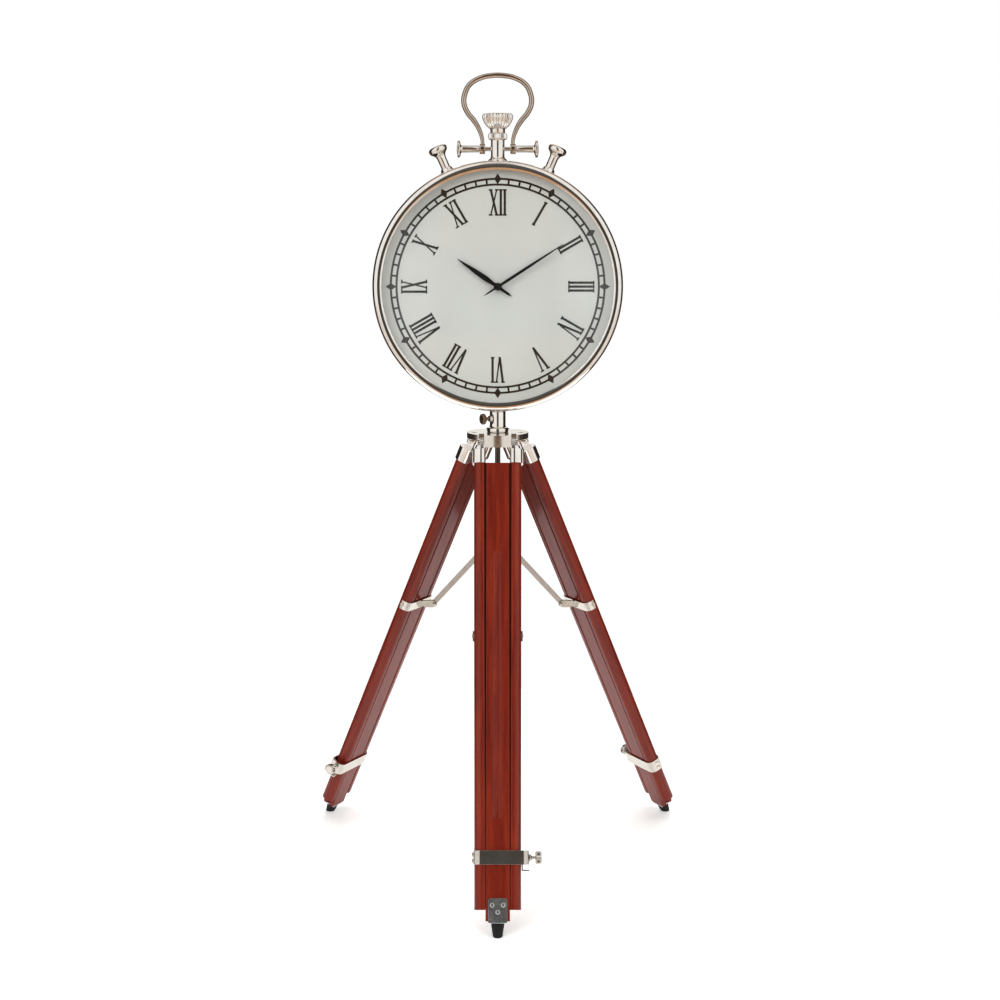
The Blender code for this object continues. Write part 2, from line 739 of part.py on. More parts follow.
def brace_clamp(name):
    """Saddle strap round the back of a leg, with two cheeks that hold the strut."""
    low, high = -brace_distance - brace_width / 2, -brace_distance + brace_width / 2
    half = rail_thickness / 2 + gap
    edge = rail_offset(brace_distance) + rail_width / 2 + gap
    strip = brace_strip
    outline = rounded_outline(-edge - strip, edge + strip, -half - strip, half + strip,
                              rail_corner + gap + strip, rail_corner + gap + strip)
    strap = prism(name, outline, low, high, "Z", nickel, True)
    hollow = rounded_outline(-edge, edge, -half, half, rail_corner + gap, rail_corner + gap)
    cut(strap, prism("hollow", hollow, low - overrun, high + overrun, "Z", nickel))
    front = block("front", (-edge - overrun, -half - overrun, low - overrun),
                  (edge + overrun, -brace_tab_reach, high + overrun), nickel)
    cut(strap, front)
    inner = strut_thickness / 2 + gap
    pivot = (pivot_inward, -pivot_distance)
    for side in (-1, 1):
        outline = arc(pivot, cheek_radius, cheek_arc_start, cheek_arc_end, 2 * corner_facets)
        outline += [(half + strip / 2, high - strip), (half + strip / 2, low + strip)]
        sides = sorted((side * inner, side * (inner + cheek_thickness)))
        join(strap, prism("cheek", outline, sides[0], sides[1], "X", nickel))
        root = inner + cheek_thickness / 2
        end = inner + cheek_thickness + pivot_head_length
        head = turned("head", [(0, root), (pivot_head_radius, root), (pivot_head_radius, end), (0, end)],
                      nickel, pin_facets)
        join(strap, turn_mesh(head, side * math.pi / 2, "Y", (0, *pivot)))
    pin = turned("pin", [(0, -inner - strip), (pivot_pin_radius, -inner - strip),
                         (pivot_pin_radius, inner + strip), (0, inner + strip)], nickel, pin_facets)
    join(strap, to_side(pin, (0, *pivot)))
    reach = strip + foot_screw_height
    for side in (-1, 1):
        head = turned("screw", [(0, 0), (foot_screw_radius, 0), (foot_screw_radius, reach), (0, reach)],
                      nickel, pin_facets)
        join(strap, turn_mesh(head, side * math.pi / 2, "Y", (side * edge, 0, -brace_distance)))
    return strap


def strut(name):
    """Flat bar from the brace pivot, at its origin, up to the hub."""
    waist = math.degrees(math.acos(strut_width / 2 / strut_eye_radius))
    outline = arc((0, 0), strut_eye_radius, 180 - waist, 360 + waist, 3 * corner_facets)
    outline += arc((0, strut_length), strut_eye_radius, -waist, 180 + waist, 3 * corner_facets)
    bar = prism(name, outline, -strut_thickness / 2, strut_thickness / 2, "X", nickel)
    side = strut_thickness
    radius = pivot_pin_radius + gap
    hole = turned("hole", [(0, -side), (radius, -side), (radius, side), (0, side)], nickel, pin_facets)
    return cut(bar, to_side(hole))


def spreader_hub():
    """Round hub that slides on the guide rod, with a radial slot for each strut's upper end."""
    half = hub_thickness / 2
    crown = half + hub_button_height
    profile = [(0, -half), (hub_radius, -half), (hub_radius, half), (hub_button_radius, half),
               (hub_button_radius, crown), (0, crown)]
    hub = turned("spreader_hub", profile, nickel, 2 * small_facets)
    for number in range(leg_count):
        slot = block("slot", (-hub_slot_width / 2, -hub_radius - overrun, -half - overrun),
                     (hub_slot_width / 2, -hub_core_radius, half + overrun), nickel)
        cut(hub, turn_mesh(slot, 2 * math.pi * number / leg_count, "Z"))
    radius = rod_radius + gap
    bore = turned("bore", [(0, -2 * half), (radius, -2 * half), (radius, 2 * half), (0, 2 * half)], nickel)
    return cut(hub, bore)


# Clock case, in the clock's own frame: origin in the middle of the case, on the pole's axis
def case_band():
    """Drum of the case, with a ledge inside that the dial rests on."""
    half = case_depth / 2
    inner = case_radius - case_wall
    profile = [(case_radius, -half), (case_radius, half), (inner, half), (inner, ledge_front),
               (ledge_radius, ledge_front), (ledge_radius, ledge_front - ledge_thickness),
               (inner, ledge_front - ledge_thickness), (inner, -half)]
    band = to_front(turned("case_band", profile, nickel, case_facets))
    root = case_radius - case_wall / 2
    shoulder = case_radius + gap + pusher_flange_height
    floor = case_radius + pusher_seat - pusher_travel
    bore = pusher_stem_radius + gap
    for side in (-1, 1):
        profile = [(0, root), (pusher_flange_radius, root),
                   (pusher_flange_radius, root + collar_shoulder_share * pusher_flange_height),
                   (bore + case_wall / 2, shoulder), (bore, shoulder), (bore, floor), (0, floor)]
        collar = turned("collar", profile, nickel)
        join(band, turn_mesh(collar, side * pusher_angle, "Y"))
    return band


skirt_outer = case_radius - case_wall - gap
skirt_inner = skirt_outer - bezel_skirt
bezel_back = case_depth / 2 + gap


def bezel():
    """Front ring: one rounded bead that slopes in from its crest to a lip over the glass."""
    outer_shares = ((0.19, 0), (0, 0.2), (0.01, 0.38), (0.09, 0.56), (0.22, 0.73), (0.42, 0.86), (0.65, 0.95),
                    (0.85, 0.995))
    profile = [(bezel_radius - bezel_outer_width * across, bezel_back + (bezel_front - bezel_back) * rise)
               for across, rise in outer_shares]
    inner_shares = ((0, 0), (0.25, 0.02), (0.52, 0.09), (0.8, 0.22), (0.95, 0.37), (1, 0.6))
    profile += [(bezel_crest_radius - bezel_inner_width * across, bezel_front - bezel_lip_depth * drop)
                for across, drop in inner_shares]
    profile += [(bezel_opening_radius, bezel_lip_back), (skirt_inner, bezel_lip_back),
                (skirt_inner, ledge_front + gap), (skirt_outer, ledge_front + gap), (skirt_outer, bezel_back)]
    return to_front(turned("bezel", profile, nickel, case_facets))


glass_front = bezel_lip_back - gap
glass_back = glass_front - glass_thickness
dial_back = ledge_front + gap
dial_front = dial_back + dial_thickness


def glass():
    """Flat glass held behind the bezel's lip."""
    radius = skirt_inner - gap
    profile = [(0, glass_back), (radius, glass_back), (radius, glass_front), (0, glass_front)]
    return to_front(turned("glass", profile, clear_glass, case_facets))


def glass_ring():
    """Plated spacer ring between the dial and the glass."""
    radius = skirt_inner - gap
    inner = radius - glass_ring_width
    low, high = dial_front + gap, glass_back - gap
    profile = [(inner, low), (radius, low), (radius, high), (inner, high)]
    return to_front(turned("glass_ring", profile, nickel, case_facets))


def dial():
    """Painted metal dial with a hole for the movement's neck."""
    radius = skirt_inner - gap
    bore = neck_radius + gap
    profile = [(bore, dial_back), (radius, dial_back), (radius, dial_front), (bore, dial_front)]
    return to_front(turned("dial", profile, dial_paint, case_facets))


movement_front = dial_back - gap
movement_back = movement_front - movement_depth
neck_front = dial_front + neck_height


def movement_case():
    """Moulded movement box with its threaded neck and a battery bay."""
    half = movement_width / 2
    outline = rounded_outline(-half, half, -half, half, movement_corner, movement_corner)
    case = prism("movement_case", outline, -movement_front, -movement_back, "Y", movement_plastic)
    root = movement_front - movement_corner
    neck = turned("neck", [(0, root), (neck_radius, root), (neck_radius, neck_front), (0, neck_front)],
                  movement_plastic)
    join(case, to_front(neck))
    bay = battery_radius + gap
    length = battery_length / 2 + battery_nub_length + gap
    cut(case, block("bay", (-length, -movement_back - 2 * bay, -battery_drop - bay),
                    (length, -movement_back + overrun, -battery_drop + bay), movement_plastic))
    return case


def battery():
    """Round cell lying in the movement's bay."""
    half = battery_length / 2
    profile = [(0, -half), (battery_radius, -half), (battery_radius, half), (battery_nub_radius, half),
               (battery_nub_radius, half + battery_nub_length), (0, half + battery_nub_length)]
    cell = turned("battery", profile, battery_sleeve)
    return to_side(cell, (0, -movement_back - battery_radius, -battery_drop))


def dial_nut():
    """Nut on the movement's neck, in front of the dial."""
    bore = neck_radius + gap
    low = dial_front + gap
    high = low + dial_nut_height
    profile = [(bore, low), (dial_nut_radius, low), (dial_nut_radius, high), (bore, high)]
    return to_front(turned("dial_nut", profile, nickel, nut_facets))


def time_set_knob():
    """Ribbed wheel on the movement's back."""
    low, high = gap, gap + set_knob_height
    profile = [(0, low), (set_knob_radius, low), (set_knob_radius, high), (0, high)]
    knob = turned("time_set_knob", profile, movement_plastic, 0, set_knob_ribs, set_knob_rib_depth)
    return turn_mesh(knob, -math.pi / 2, "X")


def blade(name, length, tail, width, leaf_shares, low, high):
    """Slim hand along +Z with a blunt tip and a short pointed tail."""
    tail_shares = (0.5, 0.7)
    right = [(width / 2 * tail_shares[0], -tail * tail_shares[1])]
    right += [(width / 2 * share, length * along) for along, share in leaf_shares]
    outline = [(-x, z) for x, z in reversed(right)] + [(0, -tail)] + right
    return prism(name, outline, -high, -low, "Y", hand_paint)


hour_low = neck_front + gap
minute_low = hour_low + hour_hub_height + gap


def hour_hand():
    """Hour hand on a hub that turns round the minute arbor."""
    top = hour_low + hour_hub_height
    leaf_shares = ((0, 0.55), (0.1, 0.62), (0.3, 1), (0.55, 0.86), (0.8, 0.5), (1, 0.12))
    hand = blade("hour_hand", hour_hand_length, hand_tail_length, hour_hand_width, leaf_shares,
                 hour_low + gap, hour_low + gap + hand_thickness)
    hub = turned("hub", [(0, hour_low), (hour_hub_radius, hour_low), (hour_hub_radius, top), (0, top)],
                 hand_paint)
    join(hand, to_front(hub))
    radius = arbor_radius + gap
    bore = turned("bore", [(0, hour_low - overrun), (radius, hour_low - overrun), (radius, top + overrun),
                           (0, top + overrun)], hand_paint, pin_facets)
    cut(hand, to_front(bore))
    return turn_mesh(hand, hour_angle, "Y")


def minute_hand():
    """Minute hand with its arbor and a domed cap."""
    top = minute_low + minute_hub_height
    leaf_shares = ((0, 0.85), (0.15, 1), (0.5, 0.93), (0.72, 0.6), (0.9, 0.38), (1, 0.25))
    hand = blade("minute_hand", minute_hand_length, hand_tail_length, minute_hand_width, leaf_shares,
                 minute_low + gap, minute_low + gap + hand_thickness)
    profile = [(0, neck_front + gap), (arbor_radius, neck_front + gap), (arbor_radius, minute_low),
               (minute_hub_radius, minute_low), (minute_hub_radius, minute_low + minute_hub_height / 2),
               (minute_hub_radius / 2, top), (0, top)]
    join(hand, to_front(turned("hub", profile, hand_paint, pin_facets)))
    return turn_mesh(hand, minute_angle, "Y")


cover_front = -case_depth / 2 - gap
cover_back = cover_front - cover_bulge
cover_opening = door_radius + door_clearance


def back_cover():
    """Dished back with a spigot inside the drum, a round opening and hinge knuckles."""
    spigot = skirt_outer - bezel_skirt
    thick = cover_thickness
    profile = [(cover_opening, cover_back), (cover_shoulder_radius, cover_back),
               (case_radius, cover_front - thick), (case_radius, cover_front), (skirt_outer, cover_front),
               (skirt_outer, cover_front + cover_spigot_depth), (spigot, cover_front + cover_spigot_depth),
               (spigot, cover_front - thick / 4), (cover_shoulder_radius, cover_back + thick),
               (cover_opening - door_flange_width, cover_back + thick),
               (cover_opening - door_flange_width, cover_back + door_thickness / 2 + thick / 4),
               (cover_opening, cover_back + door_thickness / 2 + thick / 4)]
    cover = to_front(turned("back_cover", profile, nickel, case_facets))
    behind = -cover_back + knuckle_radius
    for side in (-1, 1):
        start = side * (knuckle_length / 2 + gap)
        end = side * (3 * knuckle_length / 2 + gap)
        low, high = min(start, end), max(start, end)
        knuckle = turned("knuckle", [(0, low), (knuckle_radius, low), (knuckle_radius, high), (0, high)],
                         nickel, pin_facets)
        knuckle.data.transform(Matrix.Translation((-door_hinge_offset, behind, 0)))
        root = behind - knuckle_radius - cover_thickness / 2
        foot = block("foot", (-door_hinge_offset - knuckle_radius, root, low),
                     (-door_hinge_offset + knuckle_radius, behind, high), nickel)
        join(cover, foot)
        join(cover, knuckle)
    half = 2 * knuckle_length
    radius = knuckle_pin_radius + gap
    hole = turned("hole", [(0, -half), (radius, -half), (radius, half), (0, half)], nickel, pin_facets)
    hole.data.transform(Matrix.Translation((-door_hinge_offset, behind, 0)))
    return cut(cover, hole)


def battery_door():
    """Round door in the cover's opening, on a pin through the cover's knuckles."""
    thick = door_thickness / 2
    front = cover_back + thick - gap / 2
    profile = [(0, cover_back - thick), (door_radius, cover_back - thick / 2), (door_radius, front),
               (0, front)]
    pull = [(0, cover_back), (door_pull_radius / 2, cover_back),
            (door_pull_radius / 2, cover_back - door_pull_height / 2),
            (door_pull_radius, cover_back - door_pull_height / 2),
            (door_pull_radius, cover_back - door_pull_height), (0, cover_back - door_pull_height)]
    door = to_front(turned("battery_door", profile, nickel, 2 * small_facets))
    pull_shift = door_radius - 2 * door_pull_radius
    join(door, to_front(turned("pull", pull, nickel), (pull_shift, 0, 0)))
    behind = -cover_back + knuckle_radius
    half = knuckle_length / 2
    arm = block("arm", (-door_hinge_offset, -cover_back + gap, -half),
                (-door_radius + door_pull_radius, -cover_back + gap + door_thickness, half), nickel)
    join(door, arm)
    barrel = turned("barrel", [(0, -half), (knuckle_radius - gap, -half), (knuckle_radius - gap, half),
                               (0, half)], nickel, pin_facets)
    barrel.data.transform(Matrix.Translation((-door_hinge_offset, behind, 0)))
    join(door, barrel)
    reach = 3 * knuckle_length / 2
    pin = turned("pin", [(0, -reach), (knuckle_pin_radius, -reach), (knuckle_pin_radius, reach), (0, reach)],
                 nickel, pin_facets)
    pin.data.transform(Matrix.Translation((-door_hinge_offset, behind, 0)))
    return join(door, pin)


# Crown, bow bar, bow and pushers on the rim
def crown_stem():
    """Pendant: flange on the case, stem and ribbed collar, bored for the bow bar."""
    base = case_radius + gap
    shoulder = base + stem_flange_height
    top = collar_bottom + collar_height
    profile = [(0, base), (stem_flange_radius, base), (stem_flange_radius, base + stem_flange_height / 2),
               (stem_radius, shoulder), (stem_radius, collar_bottom),
               (collar_radius, collar_bottom + collar_height / 4), (collar_radius, top), (0, top)]
    stem = turned("crown_stem", profile, nickel, 0, collar_ribs, collar_rib_depth, stem_radius + gap)
    radius = bar_radius + gap
    end = 2 * stem_radius
    bore = turned("bore", [(0, -end), (radius, -end), (radius, end), (0, end)], nickel)
    return cut(stem, to_side(bore, (0, 0, bar_height)))


def bow_bar():
    """Cross bar through the pendant, with flanged sleeves at its ends."""
    end = bar_half_length
    face = end - sleeve_flange_thickness
    half = [(bar_radius, sleeve_start), (sleeve_radius, sleeve_start), (sleeve_radius, face),
            (sleeve_flange_radius, face + sleeve_flange_thickness / 4),
            (sleeve_flange_radius, end - sleeve_flange_thickness / 4), (sleeve_radius, end), (0, end)]
    profile = [(r, -h) for r, h in reversed(half)] + half
    return to_side(turned("bow_bar", profile, nickel, small_facets), (0, 0, bar_height))


def bow():
    """Pear-shaped bow, round in section, on two eyes that turn on the bar."""
    half_shares = ((0.4515, 0), (0.4577, 0.128), (0.5464, 0.2596), (0.701, 0.3846), (0.8866, 0.4904),
                   (1, 0.62), (0.965, 0.76), (0.8247, 0.877), (0.52, 0.964), (0.18, 0.9975))
    knots = [(-bow_half_width * x, bow_height * z) for x, z in half_shares]
    knots += [(-x, z) for x, z in reversed(knots)]
    path = []
    for i in range(len(knots) - 1):
        before, after = knots[max(i - 1, 0)], knots[min(i + 2, len(knots) - 1)]
        for step in range(bow_steps):
            t = step / bow_steps
            point = []
            for a, b, c, d in zip(before, knots[i], knots[i + 1], after):
                point.append(b + t * (c - a) / 2 + t * t * (a - 2.5 * b + 2 * c - d / 2)
                             + t * t * t * (1.5 * (b - c) + (d - a) / 2))
            path.append(Vector((point[0], 0, point[1])))
    path.append(Vector((knots[-1][0], 0, knots[-1][1])))
    bm = bmesh.new()
    rings = []
    for i, point in enumerate(path):
        along = (path[min(i + 1, len(path) - 1)] - path[max(i - 1, 0)]).normalized()
        across = Vector((along.z, 0, -along.x))
        thickness_share = min(1, point.z / (bow_height / 2))
        radius = bow_foot_rod_radius + (bow_rod_radius - bow_foot_rod_radius) * thickness_share
        ring = []
        for side in range(bow_rod_sides):
            angle = 2 * math.pi * side / bow_rod_sides
            offset = across * math.cos(angle) + Vector((0, 1, 0)) * math.sin(angle)
            ring.append(bm.verts.new(point + radius * offset))
        rings.append(ring)
    for first, second in zip(rings, rings[1:]):
        for i in range(bow_rod_sides):
            j = (i + 1) % bow_rod_sides
            bm.faces.new((first[i], first[j], second[j], second[i]))
    bm.faces.new(rings[0])
    bm.faces.new(rings[-1])
    loop = finish(bm, "bow", nickel)
    half = bow_eye_width / 2
    for side in (-1, 1):
        eye = turned("eye", [(0, -half), (bow_eye_radius, -half), (bow_eye_radius, half), (0, half)], nickel)
        join(loop, to_side(eye, (side * bow_foot_offset, 0, 0)))
        radius = bar_radius + gap
        end = 2 * half
        hole = turned("hole", [(0, -end), (radius, -end), (radius, end), (0, end)], nickel)
        cut(loop, to_side(hole, (side * bow_foot_offset, 0, 0)))
    return loop


def crown_knob():
    """Fluted bell-shaped crown on its neck."""
    base = collar_bottom + collar_height + gap
    neck_top = base + crown_neck_length
    bell_shares = ((0.47, 0), (0.62, 0.2), (0.8, 0.42), (0.93, 0.65), (1, 0.9), (0.97, 1))
    profile = [(0, base), (crown_neck_radius, base), (crown_neck_radius, neck_top)]
    profile += [(crown_radius * r, neck_top + crown_height * h) for r, h in bell_shares]
    profile += [(0, neck_top + crown_height)]
    return turned("crown_knob", profile, nickel, 0, crown_flutes, crown_flute_depth, crown_neck_radius)


def pusher(name, side):
    """Pusher that travels in its collar beside the crown: stem, flare and domed cap."""
    base = case_radius + gap + pusher_seat
    top = pusher_cap_base + pusher_cap_height
    rim = pusher_cap_height / 3
    profile = [(0, base), (pusher_stem_radius, base), (pusher_stem_radius, pusher_flare_base),
               ((pusher_stem_radius + pusher_cap_radius) / 2, pusher_cap_base),
               (pusher_cap_radius, pusher_cap_base + rim), (pusher_cap_radius, top - rim),
               (pusher_cap_radius - rim, top - rim / 4), (0, top)]
    return turn_mesh(turned(name, profile, nickel, small_facets), side * pusher_angle, "Y")


def case_stem():
    """Stem under the case that stands in the tripod's socket."""
    top = -case_radius - gap
    low = socket_top + gap - dial_centre_height
    bottom = socket_base + socket_floor + gap - dial_centre_height
    profile = [(0, bottom), (case_stem_radius, bottom), (case_stem_radius, low),
               (case_stem_flange_radius, low), (case_stem_flange_radius, top), (0, top)]
    return turned("case_stem", profile, nickel, 2 * small_facets)


# Assembly
back_foot_angle = math.pi / leg_count
knob_reach = clamp_outside + gap + screw_collar_length + screw_neck_length + thumb_length
ankle_reach = hinge_radius + clamp_middle * math.sin(leg_lean)
back_reach = ankle_reach * math.cos(back_foot_angle) + knob_reach * math.sin(back_foot_angle)
pole_set_back = (sole_radius + foot_sole_radius - back_reach) / 2
pole = frame("pole_frame", None, (0, pole_set_back, 0))
carry(pole, tripod_head(), socket_tube())
carry(frame("socket_screw_frame", pole, (0, 0, socket_screw_height)), socket_screw())
carry(frame("hub_frame", pole, (0, 0, hub_height)), spreader_hub())

leg_names = ("front_leg", "right_leg", "left_leg")
for number, leg_name in enumerate(leg_names):
    turn = 2 * math.pi * number / leg_count
    hinge = hinge_radius * Vector((math.sin(turn), -math.cos(turn), 0))
    leg = frame(leg_name + "_frame", pole, (hinge.x, hinge.y, hinge_height), (-leg_lean, 0, turn))
    bpy.context.view_layer.update()
    carry(leg, hinge_bolt(leg_name + "_hinge_bolt"), ankle_clamp(leg_name + "_ankle_clamp"),
          brace_clamp(leg_name + "_brace_clamp"))
    for side, hand in ((-1, "_left"), (1, "_right")):
        carry(leg, outer_rail(leg_name + hand + "_rail", side), rail_cap(leg_name + hand + "_cap", side))
    carry(frame(leg_name + "_slide_frame", leg), centre_rail(leg_name + "_centre_rail"),
          foot_plate(leg_name + "_foot_plate"), rubber_foot(leg_name + "_rubber_foot", leg))
    carry(frame(leg_name + "_ankle_screw_frame", leg, (0, 0, -clamp_middle)),
          ankle_screw(leg_name + "_ankle_screw"))
    carry(frame(leg_name + "_strut_frame", leg, (0, pivot_inward, -pivot_distance),
                (leg_lean - strut_lean, 0, 0)), strut(leg_name + "_strut"))

clock = frame("clock_frame", pole, (0, 0, dial_centre_height))
carry(clock, case_band(), bezel(), glass(), glass_ring(), dial(), movement_case(), battery(), dial_nut(),
      back_cover(), crown_stem(), crown_knob(), bow_bar(), case_stem(),
      pusher("pusher_left", -1), pusher("pusher_right", 1))
carry(frame("hour_frame", clock), hour_hand())
carry(frame("minute_frame", clock), minute_hand())
carry(frame("set_knob_frame", clock, (0, -movement_back, set_knob_rise)), time_set_knob())
carry(frame("bow_frame", clock, (0, 0, bar_height)), bow())
door_frame = frame("door_frame", clock, (-door_hinge_offset, -cover_back + knuckle_radius, 0))
door = battery_door()
door.data.transform(Matrix.Translation(-door_frame.location))
carry(door_frame, door)
bpy.context.view_layer.update()
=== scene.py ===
import json
import math

import bmesh
import bpy
from mathutils import Matrix, Vector


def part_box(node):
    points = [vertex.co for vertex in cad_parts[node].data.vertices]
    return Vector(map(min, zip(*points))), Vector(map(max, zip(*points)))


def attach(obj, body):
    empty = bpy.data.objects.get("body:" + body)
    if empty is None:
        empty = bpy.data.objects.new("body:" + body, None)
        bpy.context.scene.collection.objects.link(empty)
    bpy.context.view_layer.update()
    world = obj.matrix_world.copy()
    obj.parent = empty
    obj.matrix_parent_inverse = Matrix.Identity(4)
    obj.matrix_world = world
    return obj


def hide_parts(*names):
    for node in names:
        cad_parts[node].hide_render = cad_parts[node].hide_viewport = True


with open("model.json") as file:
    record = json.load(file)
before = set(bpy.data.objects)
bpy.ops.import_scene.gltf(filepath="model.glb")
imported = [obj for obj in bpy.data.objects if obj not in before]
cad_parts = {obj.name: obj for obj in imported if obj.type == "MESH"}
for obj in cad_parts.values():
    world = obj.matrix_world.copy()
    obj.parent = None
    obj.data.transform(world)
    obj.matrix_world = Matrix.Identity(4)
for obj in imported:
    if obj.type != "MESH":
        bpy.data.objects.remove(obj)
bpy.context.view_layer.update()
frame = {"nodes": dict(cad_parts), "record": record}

# Studio: a white room with large soft boxes, and the camera a little above the middle of the object, looking
# slightly down. The boxes light the clock and aren't mirrored in it.


def placed(name, data):
    """Make an object of some data and put it in the scene."""
    thing = bpy.data.objects.new(name, data)
    bpy.context.scene.collection.objects.link(thing)
    return thing


case_low, case_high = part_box("case_band")
pole_y = (case_low.y + case_high.y) / 2
camera_distance = 2.3735
camera_height = 0.9374
camera_dip = 6.44

camera_data = bpy.data.cameras.new("camera")
camera_data.lens = 59.09
camera_data.shift_x = 0.0023
camera_data.shift_y = -0.0962
camera = placed("camera", camera_data)
camera.location = (0, pole_y - camera_distance, camera_height)
camera.rotation_euler = (math.radians(90 - camera_dip), 0, 0)
bpy.context.scene.camera = camera
bpy.context.scene.view_settings.view_transform = "Standard"

lit_point = Vector((0, 0, 0.7))
# Each soft box: its name, place, width and power.
soft_boxes = (
    ("key_box", (-1.5, -2.0, 1.9), 1.4, 30),
    ("fill_box", (1.7, -1.8, 1.5), 1.2, 20),
    ("top_box", (0, 0.3, 2.8), 1.6, 26),
    ("back_box", (0.4, 2.3, 1.7), 1.5, 22),
)
for name, place, size, power in soft_boxes:
    lamp = bpy.data.lights.new(name, "AREA")
    lamp.shape = "SQUARE"
    lamp.size = size
    lamp.energy = power
    box = placed(name, lamp)
    box.location = place
    box.rotation_euler = (lit_point - Vector(place)).to_track_quat("-Z", "Y").to_euler()
    box.visible_glossy = False

# What the metal mirrors, as bands of height with their colours by how far they lie round from the camera:
# the camera and its stand, two white screens beside it, the dark room and the backdrop behind the clock.


def linear(code):
    """Turn an sRGB hex colour into the linear colour that shaders take."""
    shares = [int(code[i:i + 2], 16) / 255 for i in (1, 3, 5)]
    return (*[s / 12.92 if s <= 0.04045 else ((s + 0.055) / 1.055) ** 2.4 for s in shares], 1)


def add(tree, kind, settings=None, links=None):
    """Add a shader node, set its sockets, properties or colour stops, and link its inputs."""
    node = tree.nodes.new("ShaderNode" + kind)
    for key, value in (settings or {}).items():
        if key == "stops":
            ramp = node.color_ramp.elements
            while len(ramp) < len(value):
                ramp.new(0.5)
            for stop, (place, colour) in zip(ramp, value):
                stop.position = place
                stop.color = colour
        elif isinstance(key, int) or key in node.inputs:
            node.inputs[key].default_value = value
        else:
            setattr(node, key, value)
    for key, source in (links or {}).items():
        tree.links.new(source, node.inputs[key])
    return node


room = bpy.data.worlds.new("room")
room.use_nodes = True
tree = room.node_tree
tree.nodes.clear()
direction = add(tree, "TexCoord")
part = add(tree, "SeparateXYZ", links={0: direction.outputs["Generated"]})
toward = add(tree, "Math", {"operation": "MULTIPLY", 1: -1}, {0: part.outputs["Y"]})
round_by = add(tree, "Math", {"operation": "ARCTAN2"}, {0: part.outputs["X"], 1: toward.outputs[0]})
aside = add(tree, "Math", {"operation": "ABSOLUTE"}, {0: round_by.outputs[0]})
turned = add(tree, "MapRange", {"From Max": math.pi}, {"Value": aside.outputs[0]})

# A stop is a share of the half turn from the camera to the backdrop, and which of a band's colours is
# there.
stops_round = ((0.0, 0), (0.068, 0), (0.089, 1), (0.455, 1), (0.489, 2), (0.87, 2), (0.92, 3))
# A band is the height where it begins, and its colours by the camera, on the screens, at the sides and
# behind the clock.
bands = (
    (-1, "#C79C78", "#EAE2D9", "#4A3D34", "#3A302A"),
    (-0.17, "#46413D", "#FBF9F6", "#2C2521", "#2A2420"),
    (0.02, "#565350", "#FBF9F6", "#2C2521", "#F6F5F2"),
    (0.70, "#A8A5A1", "#FBF9F6", "#A08878", "#A08C7D"),
    (0.88, "#D8CEC4", "#EFEAE4", "#B8A898", "#A08C7D"),
)
band_blur = 0.02
mirrored_colour = None
for height, *colours in bands:
    stops = [(share, linear(colours[which])) for share, which in stops_round]
    colour = add(tree, "ValToRGB", {"stops": stops}, {0: turned.outputs[0]}).outputs["Color"]
    if mirrored_colour is not None:
        over = add(tree, "MapRange", {"From Min": height - band_blur, "From Max": height + band_blur},
                   {"Value": part.outputs["Z"]})
        colour = add(tree, "Mix", {"data_type": "RGBA"},
                     {0: over.outputs[0], 6: mirrored_colour, 7: colour}).outputs[2]
    mirrored_colour = colour
mirrored = add(tree, "Background", {"Strength": 1.05}, {"Color": mirrored_colour})
soft = add(tree, "Background", {"Color": linear("#F3F2F0"), "Strength": 0.62})
white = add(tree, "Background", {"Color": (1, 1, 1, 1), "Strength": 1.0})
rays = add(tree, "LightPath")
lit = add(tree, "MixShader", links={0: rays.outputs["Is Glossy Ray"], 1: soft.outputs[0],
                                    2: mirrored.outputs[0]})
seen = add(tree, "MixShader", links={0: rays.outputs["Is Camera Ray"], 1: lit.outputs[0],
                                     2: white.outputs[0]})
add(tree, "OutputWorld", links={"Surface": seen.outputs[0]})
bpy.context.scene.world = room

# Floor: opal sheet lit a little from below, so it stays white and keeps only soft shadows, with a mottle
# that hardly shows. The sweep beyond it only closes the picture under the horizon, so no other ray meets it.


def new_finish(name, settings):
    """Start a material with its shader's own settings, and return it with its nodes and its shader."""
    material = bpy.data.materials.new(name)
    material.use_nodes = True
    shader = material.node_tree.nodes["Principled BSDF"]
    for socket, value in settings.items():
        shader.inputs[socket].default_value = value
    return material, material.node_tree, shader


def disc(name, radius, sides, material):
    """Lay a flat disc on the ground."""
    mesh = bpy.data.meshes.new(name)
    bm = bmesh.new()
    bmesh.ops.create_circle(bm, cap_ends=True, segments=sides, radius=radius)
    bm.to_mesh(mesh)
    bm.free()
    mesh.materials.append(material)
    return placed(name, mesh)


opal, tree, shader = new_finish("opal_sheet", {
    "Roughness": 0.7, "Specular IOR Level": 0.1, "Emission Color": (1, 1, 1, 1), "Emission Strength": 0.2})
mottle_mm = 500 / 3
mottle = add(tree, "TexNoise", {"Scale": 1000 / mottle_mm, "Detail": 4})
pale = add(tree, "ValToRGB", {"stops": ((0.3, linear("#F8F8F7")), (0.7, linear("#FCFCFB")))},
           {0: mottle.outputs["Fac"]})
tree.links.new(pale.outputs["Color"], shader.inputs["Base Color"])
floor = disc("floor", radius=0.9, sides=96, material=opal)

paper, tree, shader = new_finish("white_paper_sweep", {
    "Base Color": (0, 0, 0, 1), "Emission Color": (1, 1, 1, 1), "Emission Strength": 1.0})
sweep = disc("sweep", radius=9, sides=64, material=paper)
sweep_drop = 0.002
sweep.location.z = -sweep_drop
sweep.visible_diffuse = sweep.visible_glossy = sweep.visible_transmission = sweep.visible_shadow = False

# Tripod head: a cast plate with lugs for the three hinge bolts, plated over a lightly buffed casting, so
# its shine is soft. The turned and spun pieces of this clock have the polished plate: buffed to nearly a
# mirror, with faint orange peel and fine smears from handling.


